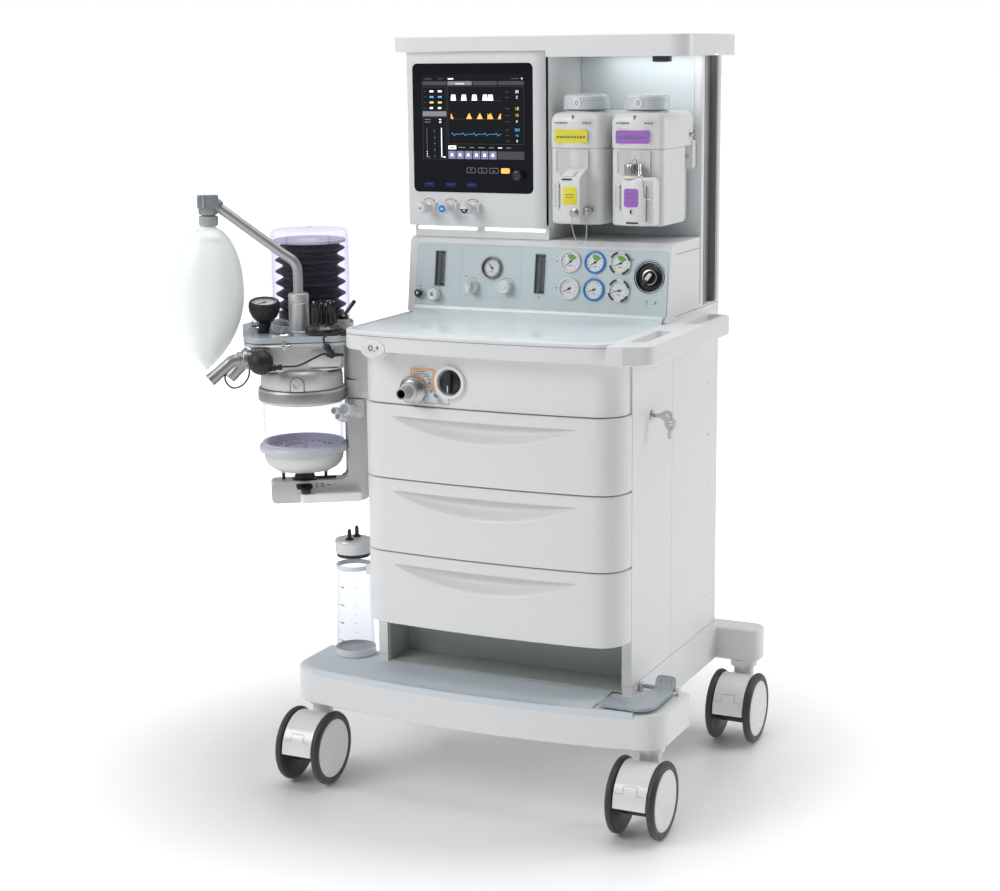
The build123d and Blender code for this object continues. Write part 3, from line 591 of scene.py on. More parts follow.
def add_sector(bm, place, inner, outer, start, end, low, high, material=0, steps=16):
    """Flat ring sector between two angles in degrees."""
    angles = [math.radians(start + (end - start) * k / steps) for k in range(steps + 1)]
    outline = [(outer * math.cos(a), outer * math.sin(a)) for a in angles]
    outline += [(inner * math.cos(a), inner * math.sin(a)) for a in reversed(angles)]
    add_slab(bm, place, outline, low, high, 0, material)


def add_bar_row(bm, place, left, y, widths, height, material, gap=1.4, low=-0.05, high=0.12):
    """Short bars in a row, in the place of small print."""
    for width in widths:
        add_slab(bm, place, rounded(width, height, min(height, width) * 0.2, left + width / 2, y, 2), low,
            high, 0, material)
        left += width + gap


def middle(node):
    low, high = box(node)
    return (low + high) / 2


# ------------------------------------------------------------------ CAD nodes that stay visible
CAD_LOOKS = {
    "shell": ["side_panel_left", "side_panel_right", "rear_cover", "front_panel", "worktop", "upper_body",
              "monitor_housing", "top_shelf"],
    "base": ["base_frame"],
    "mat": ["base_mat"],
    "inner": ["carcass", "ventilator_module"],
    "panel": ["gauge_panel"],
    "glass": ["monitor_display"],
    "rail": ["accessory_rail"],
}
for look, members in CAD_LOOKS.items():
    for member in members:
        shade(member, look)
for name in nodes:
    if name.startswith("caster_fork"):
        shade(name, "shell_gloss")


# ------------------------------------------------------------------ casters
CASTER_CORNERS = ("front_left", "front_right", "rear_left", "rear_right")
AXLE_RADIUS = 6.0
WHEEL_PROFILE = [(AXLE_RADIUS, 31.0), (38, 31.0), (41, 32.4), (60, 32.4, 1), (64.5, 32.0),
    (67.2, 33.4), (68.6, 36.6), (68.6, 39.2), (67.2, 42.4), (63.6, 44.5), (62.6, 43.7),
    (61.6, 44.6), (56.6, 44.7), (55.4, 43.6), (54.2, 43.6, 2), (53.2, 44.4), (44, 44.8),
    (20, 45.0), (0, 45.0)]


def build_caster(corner):
    hub = middle("caster_wheels_" + corner)
    place = plane_frame(hub, (1, 0, 0), across=(0, 1, 0))
    bm = bmesh.new()
    for side in (1, -1):
        half = bmesh.new()
        add_lathe(half, Matrix.Scale(side, 4, (0, 0, 1)), WHEEL_PROFILE, 96)
        merge(bm, half, place)
    add_lathe(bm, place, [(0, -44), (AXLE_RADIUS - 0.3, -44), (AXLE_RADIUS - 0.3, 44), (0, 44)],
        24)
    finish_piece("caster_tyres_" + corner, bm, "caster_wheels_" + corner, ["rubber", "tyre", "disc"],
        replaces=["caster_wheels_" + corner])

    # dark hub housing and liner under the fork's white cover, and the cover's tab line
    bm = bmesh.new()
    drum = [(30.4, -30.2), (31.6, -29), (32.2, -24), (32.2, 24), (31.6, 29), (30.4, 30.2)]
    add_lathe(bm, place, drum)
    add_slab(bm, place @ moved(0, -1.2) @ Matrix.Rotation(math.radians(90), 4, "X"),
             rounded(122, 57, 5), 0, 1.2, 0.4)
    finish_piece("caster_hub_" + corner, bm, "caster_fork_" + corner, ["rubber"])
    bm = bmesh.new()
    cover = 63.9
    tab = [(-29, 203), (-13, 203), (-13, 216), (12, 216), (12, 203), (29, 202)]
    path = []
    for (x, turn), (next_x, next_turn) in zip(tab, tab[1:]):
        for step in range(4):
            share = step / 4
            angle = math.radians(360 - (turn + (next_turn - turn) * share))
            path.append((cover * math.cos(angle), cover * math.sin(angle), x + (next_x - x) * share))
    add_tube(bm, place, path, 0.32, 6)
    finish_piece("caster_cover_seam_" + corner, bm, "caster_fork_" + corner, ["seam"])


for corner in CASTER_CORNERS:
    build_caster(corner)


# ------------------------------------------------------------------ bowed outlines of the cabinet and deck
def bow_depth(x, half, rise):
    """How far a bowed front falls back at x from its middle; it falls back by rise at half."""
    radius = (half * half + rise * rise) / (2 * rise)
    return radius - math.sqrt(radius * radius - x * x)


def bowed_outline(left, right, centre, side, back, corner, steps=40):
    """Points and outward normals round a bowed front with rounded corners, from back left to back right."""
    middle_x, half, rise = (left + right) / 2, (right - left) / 2, side - centre
    radius = (half * half + rise * rise) / (2 * rise)
    centre_y = centre + radius
    corner_x = half - corner
    corner_y = centre_y - math.sqrt((radius - corner) ** 2 - corner_x**2)
    lean = math.atan2(corner_x, centre_y - corner_y)
    half_side = [(half, back, 1.0, 0.0), (half, (back + corner_y) / 2, 1.0, 0.0)]
    for step in range(11):
        angle = -(math.pi / 2 - lean) * step / 10
        half_side.append((corner_x + corner * math.cos(angle), corner_y + corner * math.sin(angle),
            math.cos(angle), math.sin(angle)))
    points = [(middle_x - x, y, -nx, ny) for x, y, nx, ny in half_side]
    for step in range(1, steps):
        angle = -lean + 2 * lean * step / steps
        points.append((middle_x + radius * math.sin(angle), centre_y - radius * math.cos(angle),
                       math.sin(angle), -math.cos(angle)))
    points += [(middle_x + x, y, nx, ny) for x, y, nx, ny in reversed(half_side)]
    return points


# ------------------------------------------------------------------ deck edge, pedal
def build_deck_lip():
    """Soft front edge of the tread mat, folded over the deck."""
    low, high = box("base_frame")
    half, centre = high.x / MM, low.y / MM
    rise = 35.0
    section = [(9, 225.0), (1.5, 225.0), (-0.6, 224.2), (-1.8, 222.0), (-2.0, 216.5), (-1.5, 214.0),
        (0.5, 213.2), (9, 213.2)]
    bm = bmesh.new()
    rings = []
    reach, count = 317.0, 80
    for step in range(count + 1):
        x = -reach + 2 * reach * step / count
        y = centre + bow_depth(x, half, rise)
        rings.append([bm.verts.new(Vector((x, y + inward, z)) * MM) for inward, z in section])
    bridge(bm, rings)
    bm.faces.new(rings[0])
    bm.faces.new(rings[-1])
    finish_piece("deck_mat_lip", bm, "chassis", ["mat"], smooth=50)


def build_pedal():
    pivot_y, pivot_z = -190.0, 231.0
    bm = bmesh.new()
    plate = [(251, -317, 8), (330, -318, 26), (348, -298, 26), (348, -198, 6), (312, -198, 8),
        (304, -258, 22), (251, -276, 10)]
    add_slab(bm, up_frame(0, 0), round_corners(plate), 228.2, 233.6, 1.4)
    tab = plane_frame((0.330, -0.196, 0.2325), (0, -math.cos(0.5), math.sin(0.5)))
    add_slab(bm, tab, round_corners([(-19, 0, 1), (18, 0, 1), (18, 24, 10), (-19, 24, 10)]), -2.2, 2.2, 1.2)
    for x in (-9, 0, 9):
        add_slab(bm, tab, rounded(2.4, 9, 1.1, x, 13), 2.0, 2.9, 0.3)
    for x in (272, 284, 296):
        add_slab(bm, up_frame(x, -297), rounded(2.6, 13, 1.2), 233.4, 234.3, 0.3)
    axle = plane_frame((0.289, pivot_y * MM, pivot_z * MM), (1, 0, 0), across=(0, 1, 0))
    add_lathe(bm, axle, [(0, 0), (4, 0), (4, 58.5), (0, 58.5)], 24)
    for start, reach in ((-6, 6), (58.5, 6)):
        add_lathe(bm, axle, [(0, start), (2.5, start), (2.5, start + reach), (0, start + reach)], 16)
    finish_piece("brake_pedal_plate", bm, "brake_pedal", ["pedal"], replaces=["brake_pedal"])


build_deck_lip()
build_pedal()


# ------------------------------------------------------------------ drawers
SCOOP_HALF, SCOOP_DEPTH, SCOOP_HEIGHT, SCOOP_DROP = 178.0, 23.0, 40.0, 20.0
DRAWER_CORNER = 54.0


def scoop_share(t):
    """Depth of the finger scoop from its straight upper edge (t = 0) to its soft lower lip (t = 1)."""
    wall = 0.38
    if t < wall:
        return 1.0 - 0.1 * (t / wall) ** 2
    s = (t - wall) / (1 - wall)
    return 0.9 * (1 - s * s * (3 - 2 * s))


def build_drawer(name):
    low, high = box(name)
    left, right, bottom, top = low.x / MM, high.x / MM, low.z / MM, high.z / MM
    centre = low.y / MM
    side, back = centre + 15, -232.0
    outline = bowed_outline(left, right, centre, side, back, DRAWER_CORNER, 120)
    edge = 2.6
    rim = [(edge * (1 - math.cos(math.radians(a))), edge * (1 - math.sin(math.radians(a))))
        for a in range(0, 91, 18)]
    scoop_top = top - SCOOP_DROP
    middle_x = (left + right) / 2

    def column(x):
        """Heights and depths down the front at x."""
        share = max(0.0, 1 - ((x - middle_x) / SCOOP_HALF) ** 2)
        depth, height = SCOOP_DEPTH * share**0.75, 2 + SCOOP_HEIGHT * share
        rows = [(top - drop, inset) for drop, inset in rim]
        rows += [(top - 9, 0), (scoop_top + 1.6, 0), (scoop_top + 0.5, 0.12 * min(depth, 2)),
                 (scoop_top, 0.5 * min(depth, 2)), (scoop_top - 0.4, depth)]
        count = 18
        rows += [(scoop_top - 0.4 - height * k / count, depth * scoop_share(k / count))
                 for k in range(1, count + 1)]
        foot = rows[-1][0]
        rows += [(foot + (bottom + 14 - foot) * k / 8, 0) for k in range(1, 9)]
        rows += [(bottom + drop, inset) for drop, inset in reversed(rim)]
        return rows

    bm = bmesh.new()
    columns = []
    for x, y, nx, ny in outline:
        columns.append([bm.verts.new(Vector((x - nx * inset, y - ny * inset, z)) * MM)
            for z, inset in column(x)])
    for near, far in zip(columns, columns[1:]):
        for k in range(len(near) - 1):
            bm.faces.new((near[k], far[k], far[k + 1], near[k + 1]))
    bm.faces.new([c[0] for c in columns])
    bm.faces.new([c[-1] for c in reversed(columns)])
    bm.faces.new(columns[0] + columns[-1][::-1])
    finish_piece(name + "_front", bm, name, ["shell"], smooth=32, replaces=[name])

    bm = bmesh.new()
    x0, x1, y1, z0, z1 = left + 31.6, right - 31.6, high.y / MM, bottom + 12, bottom + 108
    wall = 2.0
    frame_outline = [(x0, back), (x1, back), (x1, y1), (x0, y1)]
    inner = [(x0 + wall, back + wall), (x1 - wall, back + wall), (x1 - wall, y1 - wall),
        (x0 + wall, y1 - wall)]
    add_ring(bm, up_frame(0, 0), frame_outline, inner, z0, z1)
    add_slab(bm, up_frame(0, 0), inner, z0, z0 + wall)
    for x in (x0 - 0.6, x1 - 4.6):
        add_slab(bm, up_frame(0, 0), rounded(5.2, y1 - back - 20, 0.8, x + 2.6, (y1 + back) / 2), z0 + 38,
            z0 + 58, 0.8, 1)
    finish_piece(name + "_box", bm, name, ["module", "nickel"])


for name in ("drawer_bottom", "drawer_middle", "drawer_top"):
    build_drawer(name)


# ------------------------------------------------------------------ worktop
def build_worktop_mat():
    """Pale moulded inlay, which runs up into the gauge panel in a cove."""
    outline = bowed_outline(-230.6, 270.6, -331.6, -310.6, -58.0, 37.6, 60)
    top, edge = 859.3, 1.0
    bm = bmesh.new()
    rings = []
    for inset, z in ((0, 857.1), (0, top - edge), (0.3, top - 0.3), (edge, top)):
        rings.append([bm.verts.new(Vector((x - nx * inset, y - ny * inset, z)) * MM)
            for x, y, nx, ny in outline])
    bridge(bm, rings)
    bm.faces.new(rings[0][::-1])
    bm.faces.new(rings[-1])
    radius, foot = 17.0, -74.5
    lean = math.radians(8)
    section = [(foot - 1, top - 0.6)]
    for step in range(13):
        angle = (math.pi / 2 - lean) * step / 12
        section.append((foot + radius * math.sin(angle), top + radius * (1 - math.cos(angle))))
    section.append((-52, section[-1][1] + 0.4))
    section.append((-52, top - 0.6))
    ends = [[bm.verts.new(Vector((x, y, z)) * MM) for y, z in section] for x in (-224.6, 270.0)]
    bridge(bm, ends)
    bm.faces.new(ends[0])
    bm.faces.new(ends[1][::-1])
    finish_piece("worktop_inlay", bm, "chassis", ["worktop"], smooth=40)


build_worktop_mat()


# ------------------------------------------------------------------ front panel and worktop edge
def on_front(x, z, lift=0.0):
    """Frame on the bowed front panel at x, z: local x right, local y up, local z outwards."""
    half, rise, radius_x = 248.5, 15.0, 28.5
    y = box("front_panel")[0].y / MM + bow_depth(x - radius_x, half, rise)
    radius = (half * half + rise * rise) / (2 * rise)
    lean = math.asin((x - radius_x) / radius)
    return plane_frame((x * MM, (y - lift) * MM, z * MM), (math.sin(lean), -math.cos(lean), 0))


def build_outlet_group():
    outlet = middle("fresh_gas_outlet")
    place = front_frame(outlet.x / MM, -304, outlet.z / MM)
    bm = bmesh.new()
    profile = [(5, -20), (11.4, -20), (11.4, -1), (25, -1), (25.4, 3), (24, 5.4),
        (21, 6.6), (19, 9.5), (16.5, 10.5), (16.5, 12.5, 1), (15.4, 13.3), (15.4, 14.5),
        (16.5, 15.3), (16.5, 19.5), (15, 21.3), (13, 21.6), (12.4, 24, 3), (10.6, 25),
        (10.2, 44.8), (9.6, 46), (8.2, 46), (7.4, 45, 2), (6.4, 20), (5, 0)]
    add_lathe(bm, place, profile, closed=True)
    finish_piece("fresh_gas_nozzle", bm, "chassis", ["steel", "cast", "black", "port_grey"],
                 replaces=["fresh_gas_outlet"])

    switch = middle("outlet_switch_knob")
    x, z = switch.x / MM, 775.0
    place = front_frame(x, -307, z)
    bm = bmesh.new()
    add_lathe(bm, place, [(28.9, -8), (29.4, -6), (29.4, -1.5), (28.4, 0.6), (26, 1.2),
        (23.6, 0.4), (22.8, -1), (22.4, -8, 1), (22.9, -8.4)], 72, closed=True)
    finish_piece("outlet_switch_ring", bm, "chassis", ["shell_gloss", "pedal"])
    place = front_frame(x, -298.5, z)
    bm = bmesh.new()
    add_lathe(bm, place, [(0, -8), (3, -8), (3, 0.6), (20, 0.6), (20.2, 2.2), (19.4, 4.6),
        (17.8, 5.8), (0, 6.2)])
    add_slab(bm, place, round_corners([(-4.6, -18.4, 3), (4.6, -18.4, 3), (5.6, 18, 3.4), (-5.6, 18, 3.4)]),
        5, 14.5, 1.8, 0, 3)
    add_slab(bm, place, rounded(1.8, 12, 0.8, 0, -10.5), 14.2, 14.9, 0.2, 1)
    finish_piece("outlet_switch_grip", bm, "outlet_switch_knob", ["black", "white_mark"],
                 replaces=["outlet_switch_knob"])

    bm = bmesh.new()
    place = on_front(-84, 780)
    outer = [(-24, 17), (23, 17), (23, -19), (8, -19), (-4, -2), (-24, 3)]
    inner = [(-21.6, 14.6), (20.6, 14.6), (20.6, -16.6), (9.4, -16.6), (-2.8, 0.2), (-21.6, 5.2)]
    add_ring(bm, place, outer, inner, -0.4, 0.5)
    for k, (left, width) in enumerate(((-17, 22), (-17, 30), (2, 13), (8, 9))):
        add_slab(bm, place, rounded(width, 1.1, 0.4, left + width / 2, 11 - 4.4 * k), -0.3, 0.45, 0, 1)
    add_slab(bm, place, oval(5, 7, 13.5, -9), -0.3, 0.5, 0, 1)
    place = on_front(-58, 750)
    outer = [(-24, 15), (8, 15), (27, -6), (27, -14), (-24, -14)]
    inner = [(-23.2, 14.2), (7.6, 14.2), (26.2, -6.4), (26.2, -13.2), (-23.2, -13.2)]
    add_ring(bm, place, outer, inner, -0.4, 0.45, 1)
    add_slab(bm, place, oval(6, 6, -9, 7), -0.3, 0.5, 0, 2)
    add_slab(bm, place, round_corners([(-6, 3, 1), (0, 3, 1), (6, -4, 1), (-1, -4, 1)]), -0.3, 0.5, 0, 1)
    for k in range(3):
        add_slab(bm, place, rounded(9, 0.9, 0.3, 5 + 2 * k, -7.2 - 2.2 * k), -0.3, 0.45, 0, 1)
    finish_piece("outlet_labels", bm, "chassis", ["orange_mark", "grey_mark", "blue_mark"])


def build_flush_button():
    spot = middle("oxygen_flush_button")
    place = front_frame(spot.x / MM, -323, spot.z / MM)
    bm = bmesh.new()
    levels = [(46, 30, -0.2), (46, 30, 11), (45, 29, 12.9), (42.6, 26.8, 13.7), (34, 19, 12.8), (16, 9, 12.2)]
    add_loft(bm, place, [[(x, y, h) for x, y in oval(w, t, steps=64)] for w, t, h in levels])
    add_ring(bm, place, oval(8.6, 11, -5.5, 0.5), oval(5.4, 7.6, -5.5, 0.5), 12, 13.2, 1)
    for w, t in ((6, 1.5), (1.5, 6)):
        add_slab(bm, place, rounded(w, t, 0.6, 8, 1.5), 12, 13.2, 0, 1)
    add_slab(bm, place, oval(2.2, 2.2, 2.2, -4.2, 16), 12, 13.2, 0, 1)
    finish_piece("flush_button_cap", bm, "oxygen_flush_button", ["shell_gloss", "grey_mark"],
                 replaces=["oxygen_flush_button"])


build_outlet_group()
build_flush_button()


# ------------------------------------------------------------------ right side: lock, keys and screws
def add_key(bm, place, material=0):
    """Flat cut key with a round bow; local x runs along the blade from the lock."""
    add_ring(bm, place, oval(21, 21, 25, 0, 40), oval(7.2, 7.2, 26, 0, 40), -1.1, 1.1, material)
    add_slab(bm, place, [(-2, -3.6), (15, -3.6), (15, 3.6), (6, 3.6), (4.5, 2.4), (2, 3.4), (-2, 2.2)], -1,
        1, 0.3, material)
    add_slab(bm, place, rounded(4, 11, 1.6, 15.4), -1.5, 1.5, 0.5, material)


def build_key():
    x, y, z = 280.0, -136.0, 710.0
    place = plane_frame((x * MM, y * MM, z * MM), (0, -1, 0))
    bm = bmesh.new()
    barrel = plane_frame((x * MM, y * MM, z * MM), (1, 0, 0), across=(0, 1, 0))
    add_lathe(bm, barrel, [(0, -4.5), (6.9, -4.5), (6.9, 0.3), (9, 0.6), (9.2, 1.8), (8.4, 3), (6.2, 3.1),
        (5.8, 2.4), (0, 2.4)], 48)
    add_key(bm, place @ moved(3, 0))
    finish_piece("lock_key", bm, "key", ["nickel"], replaces=["key"])
    bm = bmesh.new()
    ring_centre = (33.5, -5.5)
    ring = [(ring_centre[0] + 7.4 * math.cos(a), ring_centre[1] + 7.4 * math.sin(a), 3.2 * math.cos(a))
            for a in (2 * math.pi * k / 32 for k in range(33))]
    add_tube(bm, place, ring, 0.7, 8)
    hang = place @ moved(33.5, -38, 1.5) @ spun(86)
    add_key(bm, hang)
    finish_piece("spare_key", bm, "key", ["nickel"])


def build_side_screws():
    bm = bmesh.new()
    for z in (719, 620, 521, 300):
        place = plane_frame((280 * MM, 168 * MM, z * MM), (1, 0, 0), across=(0, 1, 0))
        add_lathe(bm, place, [(0, -0.5), (2.6, -0.5), (2.6, 0.5), (2.1, 0.9), (0, 0.9)], 20)
    for x in (-213, 270):
        for z in (262, 520, 790, 1060, 1300):
            place = plane_frame((x * MM, 225.8 * MM, z * MM), (0, 1, 0))
            add_lathe(bm, place, [(0, -0.5), (4.2, -0.5), (4.2, 1.0), (3.2, 2.0), (1.6, 2.2), (1.2, 1.2),
                (0, 1.2)], 24)
    finish_piece("cover_screws", bm, "chassis", ["nickel"])


build_key()
build_side_screws()


def build_worktop_seam():
    """Shadow line between the worktop's top plate and its front apron."""
    bm = bmesh.new()
    height, end = 852.6, 272
    path = [(x, y, height) for x, y, *_ in bowed_outline(-240.1, 280.1, -343.1, -322.1, 100, 46.1, 60)
            if x < end]
    add_tube(bm, up_frame(0, 0), path, 0.55, 6)
    finish_piece("worktop_plate_seam", bm, "chassis", ["seam"])


build_worktop_seam()


# ------------------------------------------------------------------ gauge panel
PANEL_LEAN = math.radians(8)


def on_panel(x, y, lift=0.0):
    """Frame on the leaning gauge panel at local x, y."""
    normal = Vector((0, -math.cos(PANEL_LEAN), math.sin(PANEL_LEAN)))
    up = Vector((0, math.sin(PANEL_LEAN), math.cos(PANEL_LEAN)))
    origin = Vector((x, -50, 927.5)) + up * y + normal * lift
    return plane_frame(origin * MM, normal)


def add_gauge(bm, place, ring, needle, sector=None, deep=False):
    """Round gauge: coloured ring, white face with ticks, needle. ring is a material number or "segments"."""
    rim = 3 if ring == "segments" else ring
    bezel = [(16.6, 0.6, rim), (16.9, 3.2), (17.8, 4.3), (19.4, 4.2), (20.6, 2.8),
        (20.8, 0.2)]
    if deep:
        bezel = [(16.4, 0.6, 2), (16.6, 5.6), (17.4, 6.6, 4), (18.8, 6.6), (20.2, 5.4),
            (20.8, 0.2)]
    add_lathe(bm, place, bezel, 72, closed=True)
    add_lathe(bm, place, [(0, -6), (16.9, -6), (16.9, 1.2), (0, 1.2)], material=1)
    if ring == "segments":
        for start in (38, 128, 218, 308):
            add_sector(bm, place, 17.4, 20.9, start - 24, start + 24, 3.6, 4.7, 2)
    if sector:
        add_sector(bm, place, 4.5, 13.2, sector[0], sector[1], 1.1, 1.45, 5)
    for k in range(11):
        angle = math.radians(225 - 27 * k)
        tick = place @ Matrix.Rotation(angle, 4, "Z") @ moved(13.6, 0)
        add_slab(bm, tick, [(-1.6, -0.25), (1.6, -0.25), (1.6, 0.25), (-1.6, 0.25)], 1.1, 1.6, 0, 2)
    hand = place @ spun(needle)
    add_slab(bm, hand, [(-4.5, -0.9), (0, -0.7), (12, -0.18), (12, 0.18), (0, 0.7), (-4.5, 0.9)], 1.9, 2.5,
        0, 2)
    add_lathe(bm, place, [(0, 1.2), (1.9, 1.2), (1.9, 2.8), (1.2, 3.3), (0, 3.4)], 20, material=2)
    add_slab(bm, place, rounded(7, 1.1, 0.3, 0, -7.5), 1.1, 1.5, 0, 6)


def build_gauges():
    bm = bmesh.new()
    columns = ((88, 3), (136, 0), (185, "segments"))
    for row, (y, sector) in enumerate(((36.5, (28, 118)), (-12.5, None))):
        for k, (x, ring) in enumerate(columns):
            add_gauge(bm, on_panel(x, y), ring, 222 - 9 * k - 14 * row, sector)
    add_gauge(bm, on_panel(-68, 19.5), 4, 132, deep=True)
    finish_piece("pressure_gauge_set", bm, "chassis", ["gauge_blue", "gauge_face", "black", "shell_gloss",
        "dark_bezel", "gauge_green", "grey_mark"], replaces=["pressure_gauges"])


def build_flow_windows():
    bm = bmesh.new()
    for middle_x, low_y, float_y in ((-175, -19, -12), (28.5, -25, -19)):
        high_y, half = 48, 11
        place = on_panel(middle_x, (low_y + high_y) / 2)
        tall = high_y - low_y
        add_slab(bm, place, rounded(2 * half - 0.4, tall - 0.4, 2), -3.4, -2.6)
        add_ring(bm, place, rounded(2 * half + 1.6, tall + 1.6, 2.6), rounded(2 * half - 2, tall - 2, 1.6),
            -2.7, 0.7, 1)
        along = place @ Matrix.Rotation(math.radians(-90), 4, "X")
        add_lathe(bm, along, [(2.5, -tall / 2 + 1.4), (3.3, -tall / 2 + 1.4),
            (3.3, tall / 2 - 1.4), (2.5, tall / 2 - 1.4)], 24, closed=True, material=2)
        add_lathe(bm, on_panel(middle_x, float_y) @ Matrix.Rotation(math.radians(-90), 4, "X"),
                  [(0, -2), (2.2, -1), (2.2, 1), (1, 2), (0, 2)], 20)
        for k in range(17):
            wide = 4.2 if k % 4 == 0 else 2.4
            y = low_y + 8 + (tall - 16) * k / 16
            add_slab(bm, on_panel(middle_x + 5.2, y), rounded(wide, 0.5, 0.15), -2.7, -2.2, 0, 3)
    finish_piece("flow_tubes", bm, "chassis", ["window_dark", "pedal", "clear_jar", "white_mark"])


def build_panel_print():
    bm = bmesh.new()
    place = on_panel(-70, 12.5)
    add_ring(bm, place, rounded(122, 93, 4), rounded(121, 92, 3.5), -0.1, 0.16)
    for x, y, radius, start, end in ((-106, -17, 16, 60, 150), (-37, -15, 16.2, 25, 165),
            (-182, -34, 14.6, 25, 165), (241, 13.5, 31, 20, 160)):
        add_sector(bm, on_panel(x, y), radius, radius + 0.8, start, end, -0.1, 0.2, 1)
    for x, y in ((-120, 2), (-214, -20), (-175, -26), (28.5, -31), (62, 36), (62, -12), (209, 44)):
        add_bar_row(bm, on_panel(x, y), -2.5, 0, (1.6, 1.6), 2.4, 1, 0.9)
    add_ring(bm, on_panel(238, -30), oval(4.6, 6, steps=20), oval(3.2, 4.6, steps=20), -0.1, 0.3, 1)
    add_slab(bm, on_panel(238, -37), rounded(1.2, 4, 0.4), -0.1, 0.3, 0, 1)
    add_slab(bm, on_panel(249, -34), rounded(2.2, 2.2, 1), -0.1, 0.3, 0, 2)
    add_slab(bm, on_panel(255, -31), rounded(3.4, 5, 0.8), -0.1, 0.3, 0, 2)
    finish_piece("gauge_panel_print", bm, "chassis", ["pedal", "grey_mark", "gauge_green"])


def build_panel_knobs():
    spot = (-106, -17)
    bm = bmesh.new()
    place = on_panel(*spot)
    add_lathe(bm, place, [(0, -8), (2.9, -8), (2.9, 0.6), (12.6, 0.6), (12.9, 2), (12.4, 9), (11.4, 11),
        (0, 11.6)])
    grip = place @ spun(-6)
    add_slab(bm, grip, rounded(7.4, 24, 3.2), 9, 22, 2.2, 0, 3)
    add_slab(bm, grip, rounded(1.2, 9, 0.5, 0, 6), 21.7, 22.3, 0, 1)
    finish_piece("selector_grip", bm, "selector_knob", ["shell_gloss", "grey_mark"],
                 replaces=["selector_knob"])
    for node, spot, radius, length in (("regulator_knob", (-37, -15), 12.4, 17),
            ("aux_flow_knob", (-182, -34), 11.2, 17)):
        bm = bmesh.new()
        place = on_panel(*spot)
        add_lathe(bm, place, [(0, -8), (2.9, -8), (2.9, 0.6), (radius - 2.5, 0.6),
            (radius - 2.5, 2.2), (0, 2.4)], 40, material=1)
        add_ribbed(bm, place, [(radius - 1, 2.2, 0), (radius, 3.2, 0.6), (radius - 0.2, length - 3, 0.6),
            (radius - 1.2, length - 0.8, 0), (radius - 2.4, length, 0), (radius - 4, length - 0.3, 0)], 36,
            0.35)
        if node == "aux_flow_knob":
            add_slab(bm, place, [(-3.4, -3), (3.4, -3), (0.4, 4), (-0.4, 4)], length - 0.5, length + 0.3, 0,
                2)
        else:
            add_sector(bm, place, 5.2, 6.2, -200, 20, length - 0.5, length + 0.15, 3)
        finish_piece(node + "_grip", bm, node, ["shell_gloss", "grey_mark", "grey_mark", "pedal"],
            replaces=[node])

    bm = bmesh.new()
    place = on_panel(-214, -33)
    add_lathe(bm, place, [(9.2, 5.2, 1), (9.8, 6.4), (9, 7.6), (6.8, 8, 0), (6.4, 13.6),
        (5.6, 14.6), (3, 14.7), (2.6, 9), (0, 9)], 40)
    finish_piece("aux_outlet_cap", bm, "chassis", ["black", "dark_bezel"])

    bm = bmesh.new()
    place = on_panel(241, 13.5)
    add_lathe(bm, place, [(26.9, -13.6), (27.0, 0.4), (28.6, 0.9), (29, 0.3), (26, -0.2),
        (25.4, -2), (24.4, -12), (20, -13.4)], 72, closed=True)
    add_lathe(bm, place, [(4, -13.8), (24, -13.8), (24, -13.2), (4, -13.2)], closed=True)
    finish_piece("main_switch_bowl", bm, "chassis", ["window_dark"])
    bm = bmesh.new()
    place = on_panel(241, 13.5, -9)
    add_lathe(bm, place, [(0, -4), (2.9, -4), (2.9, 1), (13, 1), (14.6, 2.6, 1), (14.8, 6.5),
        (13.6, 8.4), (12, 8.6), (11, 7.4, 0), (0, 7.2)])
    lean = place @ spun(-38)
    add_slab(bm, lean, round_corners([(-4.4, -19, 4), (4.4, -19, 4), (5, 10, 4.6), (-5, 10, 4.6)]), 4, 15,
        2.4, 0, 3)
    add_slab(bm, lean, rounded(6.4, 15, 2.8, 0, 1), 14.4, 17.4, 1.2, 2, 3)
    finish_piece("main_switch_grip", bm, "main_switch_knob", ["black", "nickel", "shell_gloss"],
                 replaces=["main_switch_knob"])


build_gauges()
build_flow_windows()
build_panel_print()
build_panel_knobs()


# ------------------------------------------------------------------ monitor
SCREEN_FACE = -50.5


